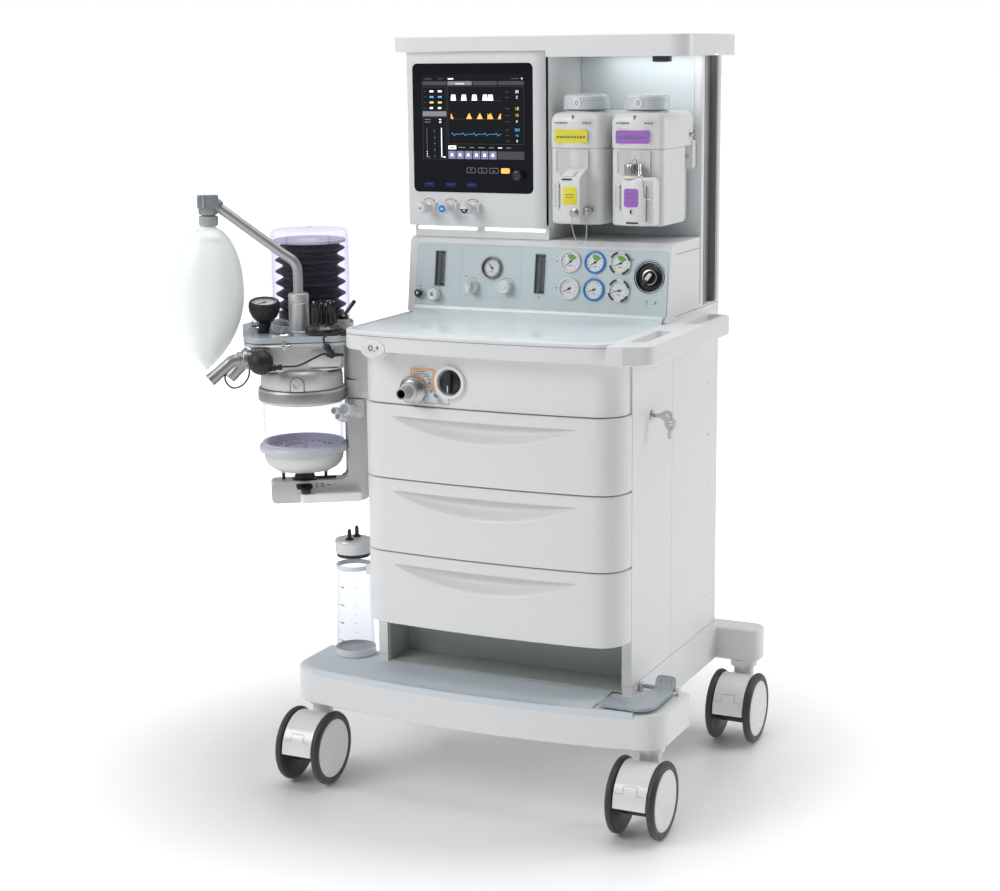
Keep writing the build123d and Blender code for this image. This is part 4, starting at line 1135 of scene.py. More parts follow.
def build_screen():
    """Live picture: three traces, readings and key rows, all generic."""
    left, right, low, high = -205.0, 0.0, 1144.0, 1297.0
    place = front_frame(0, SCREEN_FACE, 0)
    names = ["screen_black", "ui_grey", "ui_white", "ui_orange", "ui_blue", "ui_violet", "ui_dim",
        "ui_yellow"]
    black, grey, white, orange, blue, violet, dim, yellow = range(8)
    bm = bmesh.new()

    def bar(x0, x1, z0, z1, material, low_face=-0.02, high_face=0.14):
        add_slab(bm, place, [(x0, z0), (x1, z0), (x1, z1), (x0, z1)], low_face, high_face, 0, material)

    def shape(points, material):
        add_slab(bm, place, points, -0.02, 0.16, 0, material)

    bar(left, right, low, high, black, -0.05, 0.05)
    split = left + 51                                   # left column of small readings
    traces = right - 45                                 # right end of the traces
    for x0, x1, tone in ((left, split - 1, dim), (split + 1, split + 50, grey),
            (split + 52, split + 101, dim), (split + 103, right, dim)):
        bar(x0, x1, high - 19, high - 12, tone)
    bar(left, split - 2, high - 75, high - 66, grey)
    for x0, x1, z0, z1 in ((left, split - 2, high - 64, high - 22), (left, split - 2, low, high - 77),
            (split + 1, right, low + 28, high - 21)):
        for a, b, c, d in ((x0, x1, z1 - 0.5, z1), (x0, x1, z0, z0 + 0.5), (x0, x0 + 0.5, z0, z1),
                (x1 - 0.5, x1, z0, z1)):
            bar(a, b, c, d, dim)
    for x, width, tone in ((left + 4, 15, dim), (left + 33, 9, dim), (split + 2, 11, white),
            (right - 25, 15, dim), (right - 5, 2.5, white), (left + 20, 8, grey), (split + 17, 18, white)):
        z = high - 16.4 if width in (8, 18) else high - 7.5
        bar(x, x + width, z - 1.1, z + 1.1, tone)
    for k, tone in enumerate((white, blue, yellow, white)):
        z = high - 30 - 10 * k
        for x, width, tall in ((left + 4, 4, 1.4), (left + 15, 8, 3.2), (left + 32, 8, 3.2)):
            bar(x, x + width * (1 if k < 3 else 0.8), z - tall / 2, z + tall / 2, tone if width > 4 else dim)
    for k in range(2):
        bar(left + 4, left + 16, high - 81.5 - 4.6 * k, high - 80.3 - 4.6 * k, grey)
        bar(left + 34, left + 38, high - 82 - 4.6 * k, high - 80 - 4.6 * k, white)
    for k in range(14):
        bar(left + 7.5, left + 9, low + 5 + 3.8 * k, low + 6.6 + 3.8 * k, white if k < 3 else grey)
        bar(left + 23, left + 25.2, low + 5 + 3.8 * k, low + 5.9 + 3.8 * k, blue if k % 3 == 0 else dim)
    bar(left + 37.4, left + 39.2, low + 4, low + 57, white)
    bar(left + 10.5, left + 14, low + 3, low + 4.6, grey)
    bar(left + 41, left + 46, low + 3, low + 5, white)

    start, pitch = split + 7, 21.4
    base = high - 46.5
    for k in range(4):
        x = start + pitch * k
        shape([(x, base), (x + 11, base), (x + 9.6, base + 10.6), (x + 1.6, base + 10.6)], white)
    shape([(start + 3 * pitch + 11.4, base), (start + 3 * pitch + 22, base),
        (start + 3 * pitch + 20.6, base + 10.6), (start + 3 * pitch + 12.4, base + 10.6)], white)
    bar(start, traces, base - 0.5, base + 0.1, dim)
    base = high - 79.5
    bar(start, traces, base - 0.5, base + 0.1, dim)
    for k in range(4):
        x = start + pitch * k + (15.6 if k else 0) - (pitch - 15.6 if k else 0)
        if k == 0:
            shape([(x, base), (x + 5.6, base), (x + 1.4, base + 8), (x, base + 10.4)], orange)
            continue
        shape([(x, base), (x + 12, base), (x + 6.4, base + 11)], orange)
    x = start + 3 * pitch + 10
    shape([(x, base), (x + 7.4, base), (x + 2.6, base + 7), (x + 0.6, base + 10)], orange)
    shape([(traces - 7, base), (traces - 1, base), (traces - 1, base + 10.6), (traces - 3.4, base + 8)],
        orange)
    base = high - 107
    wave = []
    for k in range(121):
        share = k / 120
        phase = (share * 4.6) % 1.0
        swing = 2.6 * math.exp(-((phase - 0.12) / 0.06) ** 2) - 3.0 * math.exp(-((phase - 0.3) / 0.07) ** 2)
        wave.append((start + (traces - start) * share, base + swing, 0.1))
    add_tube(bm, place, wave, 0.38, 6, blue)

    for k, (text, tone, size) in enumerate((("30", white, 7), ("2", white, 7), ("18", yellow, 8),
            ("15", orange, 7), ("0", white, 6), ("300", blue, 7), ("45", blue, 6), ("0", white, 6))):
        z = high - (31, 41, 61, 73, 84, 99, 109, 119)[k]
        add_digits(bm, place @ moved(right - 14, z, 0.05), text, size, tone, 0.06)
        bar(right - 36, right - 30, z - 0.7, z + 0.7, dim)
    for k, width in enumerate((16, 21, 16, 20, 17, 15, 16)):
        x = split + 1 + sum((16, 21, 16, 20, 17, 15, 16)[:k]) + 1.6 * k
        bar(x, x + width, low + 18.4, low + 25, white if k == 0 else black)
        bar(x + 3, x + width - 4, low + 21, low + 22.6, black if k == 0 else (white if k == 5 else grey),
            0.1, 0.2)
    for k in range(6):
        x = split + 1 + 16.6 * k
        bar(x, x + 14.6, low + 1, low + 15.4, violet)
        shape([(x + 4, low + 6), (x + 10.4, low + 6), (x + 8.6, low + 11.6), (x + 5.4, low + 10.8)], white)
    bar(split + 101, right, low + 1, low + 15.4, dim)
    finish_piece("screen_picture", bm, "chassis", names)

    bm = bmesh.new()
    for k, x in enumerate((-107, -84, -61, -38)):
        spot = front_frame(x, SCREEN_FACE, 1124.5)
        if k == 3:
            add_slab(bm, spot, rounded(17.5, 9.4, 2.2), -0.1, 0.25, 0, 1)
        else:
            add_ring(bm, spot, rounded(18, 9.6, 2.4), rounded(16.6, 8.2, 1.9), -0.1, 0.2)
            add_sector(bm, spot, 1.6, 2.3, 20 + 60 * k, 300 + 40 * k, -0.1, 0.2)
    for k, x in enumerate((-193, -149, -106)):
        add_slab(bm, front_frame(x, SCREEN_FACE, 1097.5), rounded(21, 8.4, 1.5), -0.1, 0.15, 0, 2)
        add_bar_row(bm, front_frame(x, -50.6, 1097.5), -8, 1.2, (5, 7), 1.2, 3)
    finish_piece("monitor_keys", bm, "chassis", ["ui_grey", "ui_orange", "ui_deep_blue", "ui_dim_blue"])


def build_monitor_knobs():
    faces = (("shell_gloss", "grey_mark"), ("gauge_blue", "white_mark"), ("black", "white_mark"))
    for k, x in enumerate((-195, -150, -105)):
        node = f"flow_knob_{k + 1}"
        place = front_frame(x, -50, 1056)
        bm = bmesh.new()
        add_lathe(bm, place, [(0, -8.6), (2.9, -8.6), (2.9, 0.6), (9.4, 0.6), (9.6, 3),
            (8.4, 5), (6.2, 7), (6, 15.5), (7.8, 17.4), (0, 17.8)], 48)
        add_ribbed(bm, place, [(7.8, 17.2, 0), (9.6, 18.4, 0.5), (10.3, 20.5, 1), (10.3, 33, 1),
            (9.6, 35.6, 0.3), (8.6, 36.6, 0), (7.6, 36.4, 0)], 24, 0.7)
        add_lathe(bm, place, [(0, 36), (7.5, 36), (7.4, 36.9), (6.6, 37.1), (0, 37.2)], 40, material=1)
        if k == 2:
            add_sector(bm, place, 0.01, 7.2, 10, 170, 36.6, 37.5)
            add_bar_row(bm, place, -3, -2.6, (2.4, 2.4), 2, 2, 0.8, 36.9, 37.5)
        else:
            add_bar_row(bm, place, -2.6, 0, (2, 2), 3.4, 2, 0.9, 36.9, 37.5)
        finish_piece(node + "_grip", bm, node, ["shell_gloss", faces[k][0], faces[k][1]],
            replaces=[node])
        bm = bmesh.new()
        add_sector(bm, place, 15, 16.2, 52, 132, -0.1, 0.3)
        add_slab(bm, place @ spun(52),
            [(13.4, -0.5), (17.8, -0.5), (15.6, -3.6)], -0.1, 0.3)
        for side, height in ((-1, 7), (1, 12)):
            post = front_frame(x + side * 15, -50, 1056)
            add_slab(bm, post, round_corners([(-2, -9, 1.4), (2, -9, 1.4), (2, 9, 1.4), (-2, 9, 1.4)]),
                -0.5, height, 1.4, 1, 3)
        finish_piece(f"flow_knob_guard_{k + 1}", bm, "chassis", ["grey_mark", "shell_gloss"])

    bm = bmesh.new()
    place = front_frame(-10, SCREEN_FACE, 1117)
    add_lathe(bm, place, [(0, -8), (2.9, -8), (2.9, 0.4), (9.6, 0.4), (9.6, 1.4),
        (0, 1.6)], 48)
    add_ribbed(bm, place, [(8.8, 1.4, 0), (9.4, 2.4, 1), (9.1, 11, 1), (8.2, 12.8, 0.2), (6.4, 13.2, 0),
        (5.6, 12.4, 0)], 30, 0.5)
    finish_piece("encoder_grip", bm, "encoder_knob", ["satin_dark"], replaces=["encoder_knob"])


def build_light_strips():
    bm = bmesh.new()
    for x0, x1 in ((-226, -104), (-88, 34)):
        place = front_frame((x0 + x1) / 2, -34, 1016.5)
        add_slab(bm, place, rounded(x1 - x0, 5, 2.4), -0.6, 1.4, 0.6)
    finish_piece("light_strips", bm, "chassis", ["led"])


build_screen()
build_monitor_knobs()
build_light_strips()


# ------------------------------------------------------------------ vaporiser bay
def bowed_front(left, right, centre, side, back, corner, steps=14):
    """Body outline with a bowed front and rounded front corners, x and y in mm."""
    middle_x, half = (left + right) / 2, (right - left) / 2
    points = []
    for k in range(steps + 1):
        share = -1 + 2 * k / steps
        x = middle_x + share * (half - corner)
        points.append((x, side + (centre - side) * (1 - share * share)))
    arc = [(right - corner + corner * math.sin(a), side + corner - corner * math.cos(a))
           for a in (math.radians(15 * k) for k in range(1, 7))]
    mirror = [(2 * middle_x - x, y) for x, y in reversed(arc)]
    return mirror + points + arc + [(right, back), (left, back)]


def shrink(outline, amount, middle_point):
    cx, cy = middle_point
    wide = max(abs(x - cx) for x, y in outline)
    deep = max(abs(y - cy) for x, y in outline)
    return [(cx + (x - cx) * (1 - amount / wide), cy + (y - cy) * (1 - amount / deep)) for x, y in outline]


def build_vaporiser(side, x, label):
    bm = bmesh.new()
    flat = up_frame(0, 0)
    body = bowed_front(x - 49.5, x + 49.5, -60, -54, 58, 13)
    cap = bowed_front(x - 50.5, x + 50.5, -63, -56, 98, 15)
    lower = [(2.5, 1032.2), (0.4, 1034), (0, 1037), (0, 1165.6), (1.4, 1166.6), (1.4, 1168)]
    upper = [(0.8, 1168), (0, 1169.4), (0, 1214), (0.8, 1219), (3.4, 1224.6), (7, 1228.2), (11, 1229.8),
        (14, 1230)]
    for outline, centre, levels in ((body, (x, 0), lower), (cap, (x, 18), upper)):
        add_loft(bm, flat, [[(px, py, z) for px, py in shrink(outline, amount, centre)]
            for amount, z in levels])
    add_slab(bm, flat, rounded(76, 54, 3, x, 77), 1034, 1170, 1.5)
    add_lathe(bm, up_frame(x, DIAL_Y), [(0, 1228), (36.5, 1228), (36.5, 1231.4), (35.4, 1232.6),
        (0, 1232.8)], 72)
    frame_place = front_frame(x - 4, -60.2, 1144)
    add_ring(bm, frame_place, rounded(62, 41, 2.4), rounded(59, 38, 1.2), -1.5, 0.9)
    add_slab(bm, frame_place, rounded(59.4, 38.4, 1.2), -1.4, -0.5, 0, 1)
    for start, widths in ((x - 36, (3, 4, 6, 3.4, 4)), (x + 17, (5, 5, 5))):
        add_bar_row(bm, front_frame(0, -63.1, 1212), start, 0, widths, 2.6, 3, 1.0)
    plate = front_frame(x - 5, -63, 1188)
    add_slab(bm, plate, rounded(63, 22.5, 3), -0.6, 0.5, 0.2, 2)
    add_bar_row(bm, plate, -27, -1, (4.2,) * 10, 4.2, 3, 1.4, 0.4, 0.62)
    finish_piece(f"vaporiser_{side}_body", bm, "chassis", ["vaporiser", "panel_pale", label, "grey_mark"],
        replaces=[f"vaporiser_{side}"])

    bm = bmesh.new()
    dial = up_frame(x, DIAL_Y)
    add_lathe(bm, dial, [(0, 1215), (2.9, 1215), (2.9, 1233.6), (34.6, 1233.6),
        (34.8, 1235.4)], 72)
    add_ribbed(bm, dial, [(34.8, 1234.6, 0), (41.2, 1234.8, 0), (41.9, 1236, 0.4), (41.2, 1238.5, 1),
        (40.3, 1252, 1), (40.2, 1255, 0.2), (39.9, 1256.5, 0)], 90, 0.3, 0, 270)
    add_lathe(bm, dial, [(39.9, 1256.4), (40.2, 1257.6), (39.2, 1259.3), (34, 1260.9),
        (22, 1262.4), (8, 1262.9), (0, 1263)], 96, material=1)
    spot = front_frame(x - 2, DIAL_Y - 40, 1246)
    add_lathe(bm, spot, [(9, -6), (9.2, 0.5), (8.4, 1.8), (7.1, 2.1), (6.6, 1.6),
        (0, 1.7)], 40, material=1)
    add_digits(bm, spot @ moved(0, 0, 1.7), "0", 12, 2)
    for k in range(9):
        angle = math.radians(-74 + 7 * k)
        spin = up_frame(x + 41.2 * math.cos(angle), DIAL_Y + 41.2 * math.sin(angle), 1250)
        add_slab(bm, spin @ Matrix.Rotation(angle, 4, "Z"), rounded(0.5, 1.0, 0.2), 0, 1.4, 0, 2)
    finish_piece(f"vaporiser_dial_{side}_cap", bm, f"vaporiser_dial_{side}",
        ["dial", "shell_gloss", "grey_mark"], replaces=[f"vaporiser_dial_{side}"])
    bm = bmesh.new()
    add_slab(bm, front_frame(x - 2, -63.2, 1221), [(-1.6, 4), (1.6, 4), (0, -3)], -4, 0.2)
    finish_piece(f"vaporiser_pointer_{side}", bm, "chassis", ["grey_mark"])


def build_filler_left(x):
    bm = bmesh.new()
    front, low = -96, 1036
    side = [(57, low), (-front - 3, low), (-front, low + 3), (-front, 1112), (-front - 2, 1118), (62, 1132),
        (57, 1132)]
    add_slab(bm, plane_frame(((x + 26) * MM, 0, 0), (-1, 0, 0), (0, -1, 0)), side, 0, 38, 2.6, 0, 3)
    place = front_frame(x, front, 0)
    add_slab(bm, place, rounded(19, 2.8, 1, 0.5, 1114.6), -1.5, 1.4, 0.4, 2)
    tipped = Matrix.Rotation(math.radians(22.5), 4, "X")
    lid = Matrix.Translation(Vector((x + 2, -82, 1123.4)) * MM) @ tipped @ Matrix.Scale(MM, 4)
    add_slab(bm, lid, rounded(21, 24, 2), -0.5, 2.2, 0.8)
    add_slab(bm, place, rounded(27, 31, 4, 6.6, 1086), -0.2, 0.5, 0.15, 1)
    for k in range(2):
        add_bar_row(bm, place, -2 + k, 1088 - 4.6 * k, (4, 4, 4) if k else (5, 5, 5), 1.6, 4, 1.2, 0.4, 0.62)
    for spot, long in ((front_frame(x + 16.6, front, 1056), 12), (front_frame(x + 30, -60.5, 1057), 22)):
        add_lathe(bm, spot, [(7.6, -0.5, 3), (7.6, 1), (5.4, 1.4), (5.4, 3.4, 2), (6.4, 4, 3),
            (6.4, long - 1), (5.4, long), (0, long + 0.2)], 32)
    path = smooth_path([(x + 16.6, -108, 1055), (x + 15, -106, 1034), (x + 19, -100, 1011),
        (x + 27, -95, 1002), (x + 35, -90, 1012), (x + 34, -85, 1036), (x + 30, -82, 1053)])
    add_tube(bm, up_frame(0, 0), path, 0.9, 8, 5)
    finish_piece("filler_block_left", bm, "chassis", ["vaporiser", "label_yellow", "black", "nickel",
        "grey_mark", "cord"])


def build_filler_right(x):
    bm = bmesh.new()
    outline = bowed_front(x - 19.5, x + 43, -92, -88, -56, 13)
    levels = [(2.0, 1036.2), (0.3, 1038), (0, 1041), (0, 1111), (1.5, 1115), (4.5, 1118), (8, 1119)]
    add_loft(bm, up_frame(0, 0), [[(px, py, z) for px, py in shrink(outline, amount, (x + 12, -74))]
        for amount, z in levels])
    cap = up_frame(x + 1, -75)
    add_lathe(bm, cap, [(16.6, 1117), (16.8, 1121), (14.4, 1122, 3), (14.4, 1124)], 48)
    add_ribbed(bm, cap, [(12, 1123, 0), (15.2, 1123.4, 0.4), (15.2, 1139, 1), (14.2, 1141.6, 0.4),
        (12, 1142.6, 0), (11, 1141.2, 0)], 22, 0.9, 3)
    add_tube(bm, plane_frame(((x + 4) * MM, -0.075, 1.1425), (0.5, -1, 0.3)),
        [(4.2 * math.cos(a), 4.2 * math.sin(a) + 3, 0) for a in (math.radians(24 * k) for k in range(16))],
        0.7, 8, 3)
    path = smooth_path([(x + 14, -80, 1134), (x + 22, -88, 1128), (x + 27, -93, 1112),
        (x + 29, -93.4, 1090), (x + 33, -92, 1082), (x + 38, -90, 1081)], 8)
    add_tube(bm, up_frame(0, 0), path, 0.9, 8, 3)
    place = front_frame(x, -91.8, 0)
    add_slab(bm, place, rounded(26, 32, 4.5, 4, 1084), -0.4, 0.8, 0.15, 1)
    for k in range(3):
        add_bar_row(bm, place, -3 - (k == 1) * 2, 1092 - 7.4 * k, (4, 4, 4) if k != 1 else (5, 5, 5), 1.6,
            4, 1.1, 0.7, 0.92)
    add_lathe(bm, place @ moved(6, 1060), [(4.6, -1), (4.8, 0.9), (4.2, 1.2, 2),
        (3.4, -0.4), (0, -0.4)], 32)
    add_slab(bm, place, rounded(23, 2.8, 1, 6, 1040.4), -1, 1.0, 0.3, 2)
    add_slab(bm, place, rounded(1.2, 62, 0.5, 32, 1074), -3, 0.4, 0.2, 4)
    finish_piece("filler_block_right", bm, "chassis", ["vaporiser", "label_violet", "black", "nickel",
        "grey_mark"])


def build_sight_glass(x, side):
    bm = bmesh.new()
    spot = front_frame(x, -59.4, 1083)
    add_ring(bm, spot, rounded(9, 45, 2), rounded(6, 41, 1.6), -1, 0.9)
    add_slab(bm, spot, rounded(6.2, 41.2, 1.6), -0.9, 0.1, 0, 1)
    for z in (17, -19):
        add_lathe(bm, spot @ moved(6.4, z), [(1.3, 0), (1.3, 1.4), (0, 1.5)], 14, material=2)
    finish_piece(f"sight_glass_{side}", bm, "chassis", ["shell_gloss", "panel_pale", "grey_mark"])


def build_bay():
    bm = bmesh.new()
    lock = front_frame(262, 92, 1152)
    add_slab(bm, lock, rounded(19, 50, 2), -17, 3, 1.6, 0, 3)
    add_lathe(bm, lock @ moved(-1, -4), [(3.4, 2.4), (3.4, 3.4), (2.6, 3.8),
        (0, 3.4)], 24, material=1)
    add_lathe(bm, lock @ moved(7, 36, 8), [(6, -14, 1), (6.4, 3), (5.4, 4.2),
        (2.4, 4.4, 2), (0, 3.6)], 28)
    finish_piece("dock_lock", bm, "chassis", ["vaporiser", "nickel", "black"])
    bm = bmesh.new()
    place = up_frame(255, -28)
    add_slab(bm, place, rounded(34, 16, 6), 1317, 1326.8, 2.5, 0, 3)
    add_slab(bm, place, rounded(24, 8, 3.6), 1316, 1317.6, 0.4, 1)
    finish_piece("shelf_lamp", bm, "chassis", ["satin_dark", "gauge_face"])
    bm = bmesh.new()
    add_slab(bm, front_frame(156, 109.4, 1163), rounded(221, 322, 10), -0.1, 0.4)
    finish_piece("bay_liner", bm, "chassis", ["bay_liner"])
    bm = bmesh.new()
    for z in (1276, 1100, 918):
        spot = plane_frame((0.2735, 0.148, z * MM), (1, 0, 0), (0, 1, 0))
        add_lathe(bm, spot, [(4.6, -1), (4.8, 1.6), (3.8, 2.6), (1.9, 2.8), (1.7, 1.4),
            (0, 1.4)], 28)
    finish_piece("rail_screws", bm, "chassis", ["black"])
    bm = bmesh.new()
    for y0, y1 in ((111, 125), (205, 212)):
        strip = plane_frame((0.2802, (y0 + y1) / 2 * MM, 1.1), (1, 0, 0), (0, 1, 0))
        add_slab(bm, strip, rounded(y1 - y0, 450, 2), -0.4, 1.2, 0.5)
    finish_piece("rail_side_strips", bm, "chassis", ["shell_gloss"])


DIAL_Y = -2
VAPORISER_X = (101.5, 218.5)
for side, x, label in zip(("left", "right"), VAPORISER_X, ("label_yellow", "label_violet")):
    build_vaporiser(side, x, label)
    build_sight_glass(x - 35, side)
build_filler_left(VAPORISER_X[0])
build_filler_right(VAPORISER_X[1])
build_bay()


# ------------------------------------------------------------------ breathing system, about its swing arm
ARM_TURN = math.radians(33)
ARM_U = Vector((math.cos(ARM_TURN), math.sin(ARM_TURN), 0))
ARM_V = Vector((-math.sin(ARM_TURN), math.cos(ARM_TURN), 0))
PIVOT = (-276, -195)                   # of the swing arm, mm about the cabinet's axes
ARM_PIVOT = Vector((*PIVOT, 0))
CANISTER, BELLOWS = (-101, 0), (-76, 88)    # mm along and across the arm
UP = Vector((0, 0, 1))


def arm_point(u, v, z=0.0):
    return (ARM_PIVOT + ARM_U * u + ARM_V * v + UP * z) * MM


def arm_up(u, v, z=0.0):
    return plane_frame(arm_point(u, v, z), UP, ARM_U)


def arm_front(u, v, z, side=0.0, rise=0.0):
    """Frame facing the operator's side of the arm, turned by side and tipped up by rise, in degrees."""
    a, b = math.radians(side), math.radians(rise)
    normal = (ARM_U * math.sin(a) - ARM_V * math.cos(a)) * math.cos(b) + UP * math.sin(b)
    return plane_frame(arm_point(u, v, z), normal, ARM_U)


def arm_towards(start, end):
    """Frame at the first arm point whose local z runs to the second."""
    a, b = arm_point(*start), arm_point(*end)
    return plane_frame(a, b - a, ARM_U if abs((b - a).normalized().dot(ARM_U)) < 0.9 else ARM_V)


def add_ball(bm, place, radius, material=0, steps=12, segments=32):
    rings = [(radius * math.sin(math.pi * k / steps), -radius * math.cos(math.pi * k / steps))
             for k in range(steps + 1)]
    add_lathe(bm, place, [(0 if r < 1e-4 else r, h) for r, h in rings], segments, material=material)


def build_manifold():
    plate = rounded(197, 220, 38, -106.5, 40, 10)
    band = rounded(195, 218, 37, -106.5, 40, 10)
    groove = rounded(190, 213, 35, -106.5, 40, 10)
    bm = bmesh.new()
    flat = arm_up(0, 0)
    add_slab(bm, flat, plate, 829.5, 840.2, 3, 1, 3)
    add_slab(bm, flat, groove, 827.5, 830, 0, 2)
    add_slab(bm, flat, band, 822, 827.8, 1.6)
    add_slab(bm, flat, rounded(166, 194, 30, -109, 39, 8), 775.8, 822.4, 4, 0, 3)
    add_slab(bm, flat, rounded(160, 188, 28, -109, 39, 8), 773.5, 777, 0, 2)
    add_slab(bm, arm_front(-60, -58, 800), round_corners([(-34, -16, 5), (28, -16, 5), (28, 14, 5),
        (-24, 14, 5)]), -1, 2.4, 1.2)
    add_slab(bm, arm_front(-60, -58, 800), rounded(50, 1.4, 0.5, -2, -19), -1, 0.5, 0, 2)
    add_lathe(bm, arm_up(*CANISTER), [(0, 777), (66, 777), (70, 775), (73.4, 769), (75, 762),
        (75.2, 742.6), (74.6, 741.4, 2), (74.6, 740.2, 0), (79, 739.4), (80.2, 736, 3),
        (80.4, 722), (80, 718.5, 0), (78.6, 715.6), (75.6, 714), (72, 714), (72, 717),
        (0, 717)], 128)
    button = arm_front(-112.5, -73.4, 754, side=-9)
    shape = [(12, -12.5), (12, 1)] + [(12 * math.cos(math.radians(a)),
        1 + 12 * math.sin(math.radians(a))) for a in range(15, 180, 15)]
    shape += [(-12, 1), (-12, -12.5)]
    add_slab(bm, button, [(x * 1.08, y * 1.06) for x, y in shape], -2, 1.6, 0, 2)
    add_slab(bm, button, shape, -2, 2.6, 0.9)
    add_lathe(bm, button @ moved(0, 0.5), [(8.2, 2.3), (8.2, 3.4), (7.4, 3.8),
        (6.6, 3.2, 3), (4, 1.9), (0, 1.3)], 36)
    add_lathe(bm, arm_up(*BELLOWS), [(78, 839), (78, 845), (77, 846.8, 2), (61, 846.8),
        (60.5, 866), (58, 867), (0, 867)], 96)
    socket = arm_up(-102.7, -2)
    add_lathe(bm, socket, [(21, 839), (21, 842), (18.7, 843.5), (18.5, 893), (17.7, 893.8),
        (17.7, 895.4)], 72)
    add_ribbed(bm, socket, [(17.7, 895.2, 0), (18.7, 896, 0.6), (18.8, 907, 0.6), (18, 910, 0),
        (15, 911.8, 0), (9.4, 912, 0), (9.2, 905, 0)], 60, 0.45, 0, 180)
    add_slab(bm, arm_up(-22, 1), rounded(28, 26, 8), 839, 853, 3, 0, 3)
    add_lathe(bm, arm_up(-22, 1), [(12.4, 851), (12.4, 858), (10.6, 860.8), (0, 861)], 40)
    add_slab(bm, arm_up(-4, -14), rounded(26, 12, 5), 829, 846, 2.4, 0, 3)
    add_lathe(bm, arm_towards((-198, -18, 800), (-232, -20, 762)),
        [(15, -10, 6), (15, 18), (12.6, 20), (11.2, 47), (10, 51, 2), (8.6, 24), (0, 24)],
        48)
    add_lathe(bm, arm_towards((-190, -49, 801), (-216, -52, 800)),
        [(15, 0), (15, 9), (17.4, 10), (17.6, 17), (16.4, 18.4), (13.4, 19), (13, 23),
        (14, 24), (13.8, 27), (10, 28)], 48, material=6)
    bend = smooth_path([(-212, -52, 800), (-226, -53.4, 797.5), (-237, -54.6, 789), (-248, -55.8, 780),
        (-266, -57.8, 765.5)], 8)
    add_tube(bm, flat, bend, 11, 32, 6)
    add_lathe(bm, arm_towards((-262, -57.4, 768.7), (-268, -58, 764)),
        [(11.6, -8, 6), (11.8, 5.6), (11, 6.6), (9, 6.6, 2), (8.6, 0), (0, 0)], 40)
    add_tube(bm, flat, [(-194, -66, 824), (-190, -73, 824), (-128, -75, 824), (-122, -70, 825)], 2.6, 16, 5)
    add_slab(bm, arm_front(-134, -72, 825), rounded(5, 16, 2.2), -3, 5, 1.5, 5)
    for u, v in ((-190, -50), (-22, -52), (-190, 132), (-24, 132)):
        add_lathe(bm, arm_up(u, v), [(3.4, 840, 4), (3.4, 841.2), (2.6, 841.8), (1.3, 841.9, 2),
            (0, 841)], 20)
    finish_piece("manifold_body", bm, "breathing_arm", ["cast", "plate_silver", "black", "cast_dark",
        "steel", "nickel", "port_metal"], replaces=["manifold_block"])


def build_bellows_unit():
    spot = arm_up(*BELLOWS)
    bm = bmesh.new()
    add_lathe(bm, spot, [(71.4, 847), (74.4, 847), (75.6, 848.2), (75.6, 852.5), (74, 854), (73.4, 1008),
        (74.4, 1010), (74.6, 1016), (73, 1019.4), (70, 1021), (38, 1022.2), (0, 1022.4), (0, 1019.6),
        (38, 1019.4), (67, 1018), (70.4, 1015), (71, 1009), (71, 854)], 128)
    for angle in (-128, -62):
        turn = spot @ spun(angle) @ moved(71.2, 0, 930)
        add_slab(bm, turn, rounded(3.6, 7, 1.4), -76, 80)
    add_lathe(bm, spot, [(3, 1022), (3, 1024), (2, 1025), (0, 1025.2)], 16)
    finish_piece("bellows_canopy", bm, "breathing_arm", ["clear"],
        replaces=["bellows_housing"])

    bm = bmesh.new()
    low, high, pleats = 868.0, 994.0, 6
    profile = [(0, low), (52, low)]
    for k in range(pleats):
        z, step = low + (high - low) * k / pleats, (high - low) / pleats
        profile += [(51, z + 0.04 * step), (53, z + 0.14 * step), (62.5, z + 0.38 * step),
            (64.8, z + 0.46 * step), (64.8, z + 0.54 * step), (62.5, z + 0.62 * step),
            (53, z + 0.86 * step), (51, z + 0.96 * step)]
    add_lathe(bm, spot, profile + [(50, high), (0, high)], 96)
    bag = finish_piece("pleated_bellows", bm, "breathing_arm", ["bellows_rubber"], 50,
        replaces=["bellows"])
    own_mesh(bag)
    bm = bmesh.new()
    add_lathe(bm, spot, [(0, 994.6), (63, 994.6), (66.4, 995.6), (67.2, 998), (66.4, 1000.6), (60, 1002),
        (56, 1001), (22, 1001), (20, 1003), (8, 1004), (0, 1004)], 96)
    finish_piece("bellows_top_plate", bm, "bellows_disc", ["gauge_face"],
        replaces=["bellows_disc"])


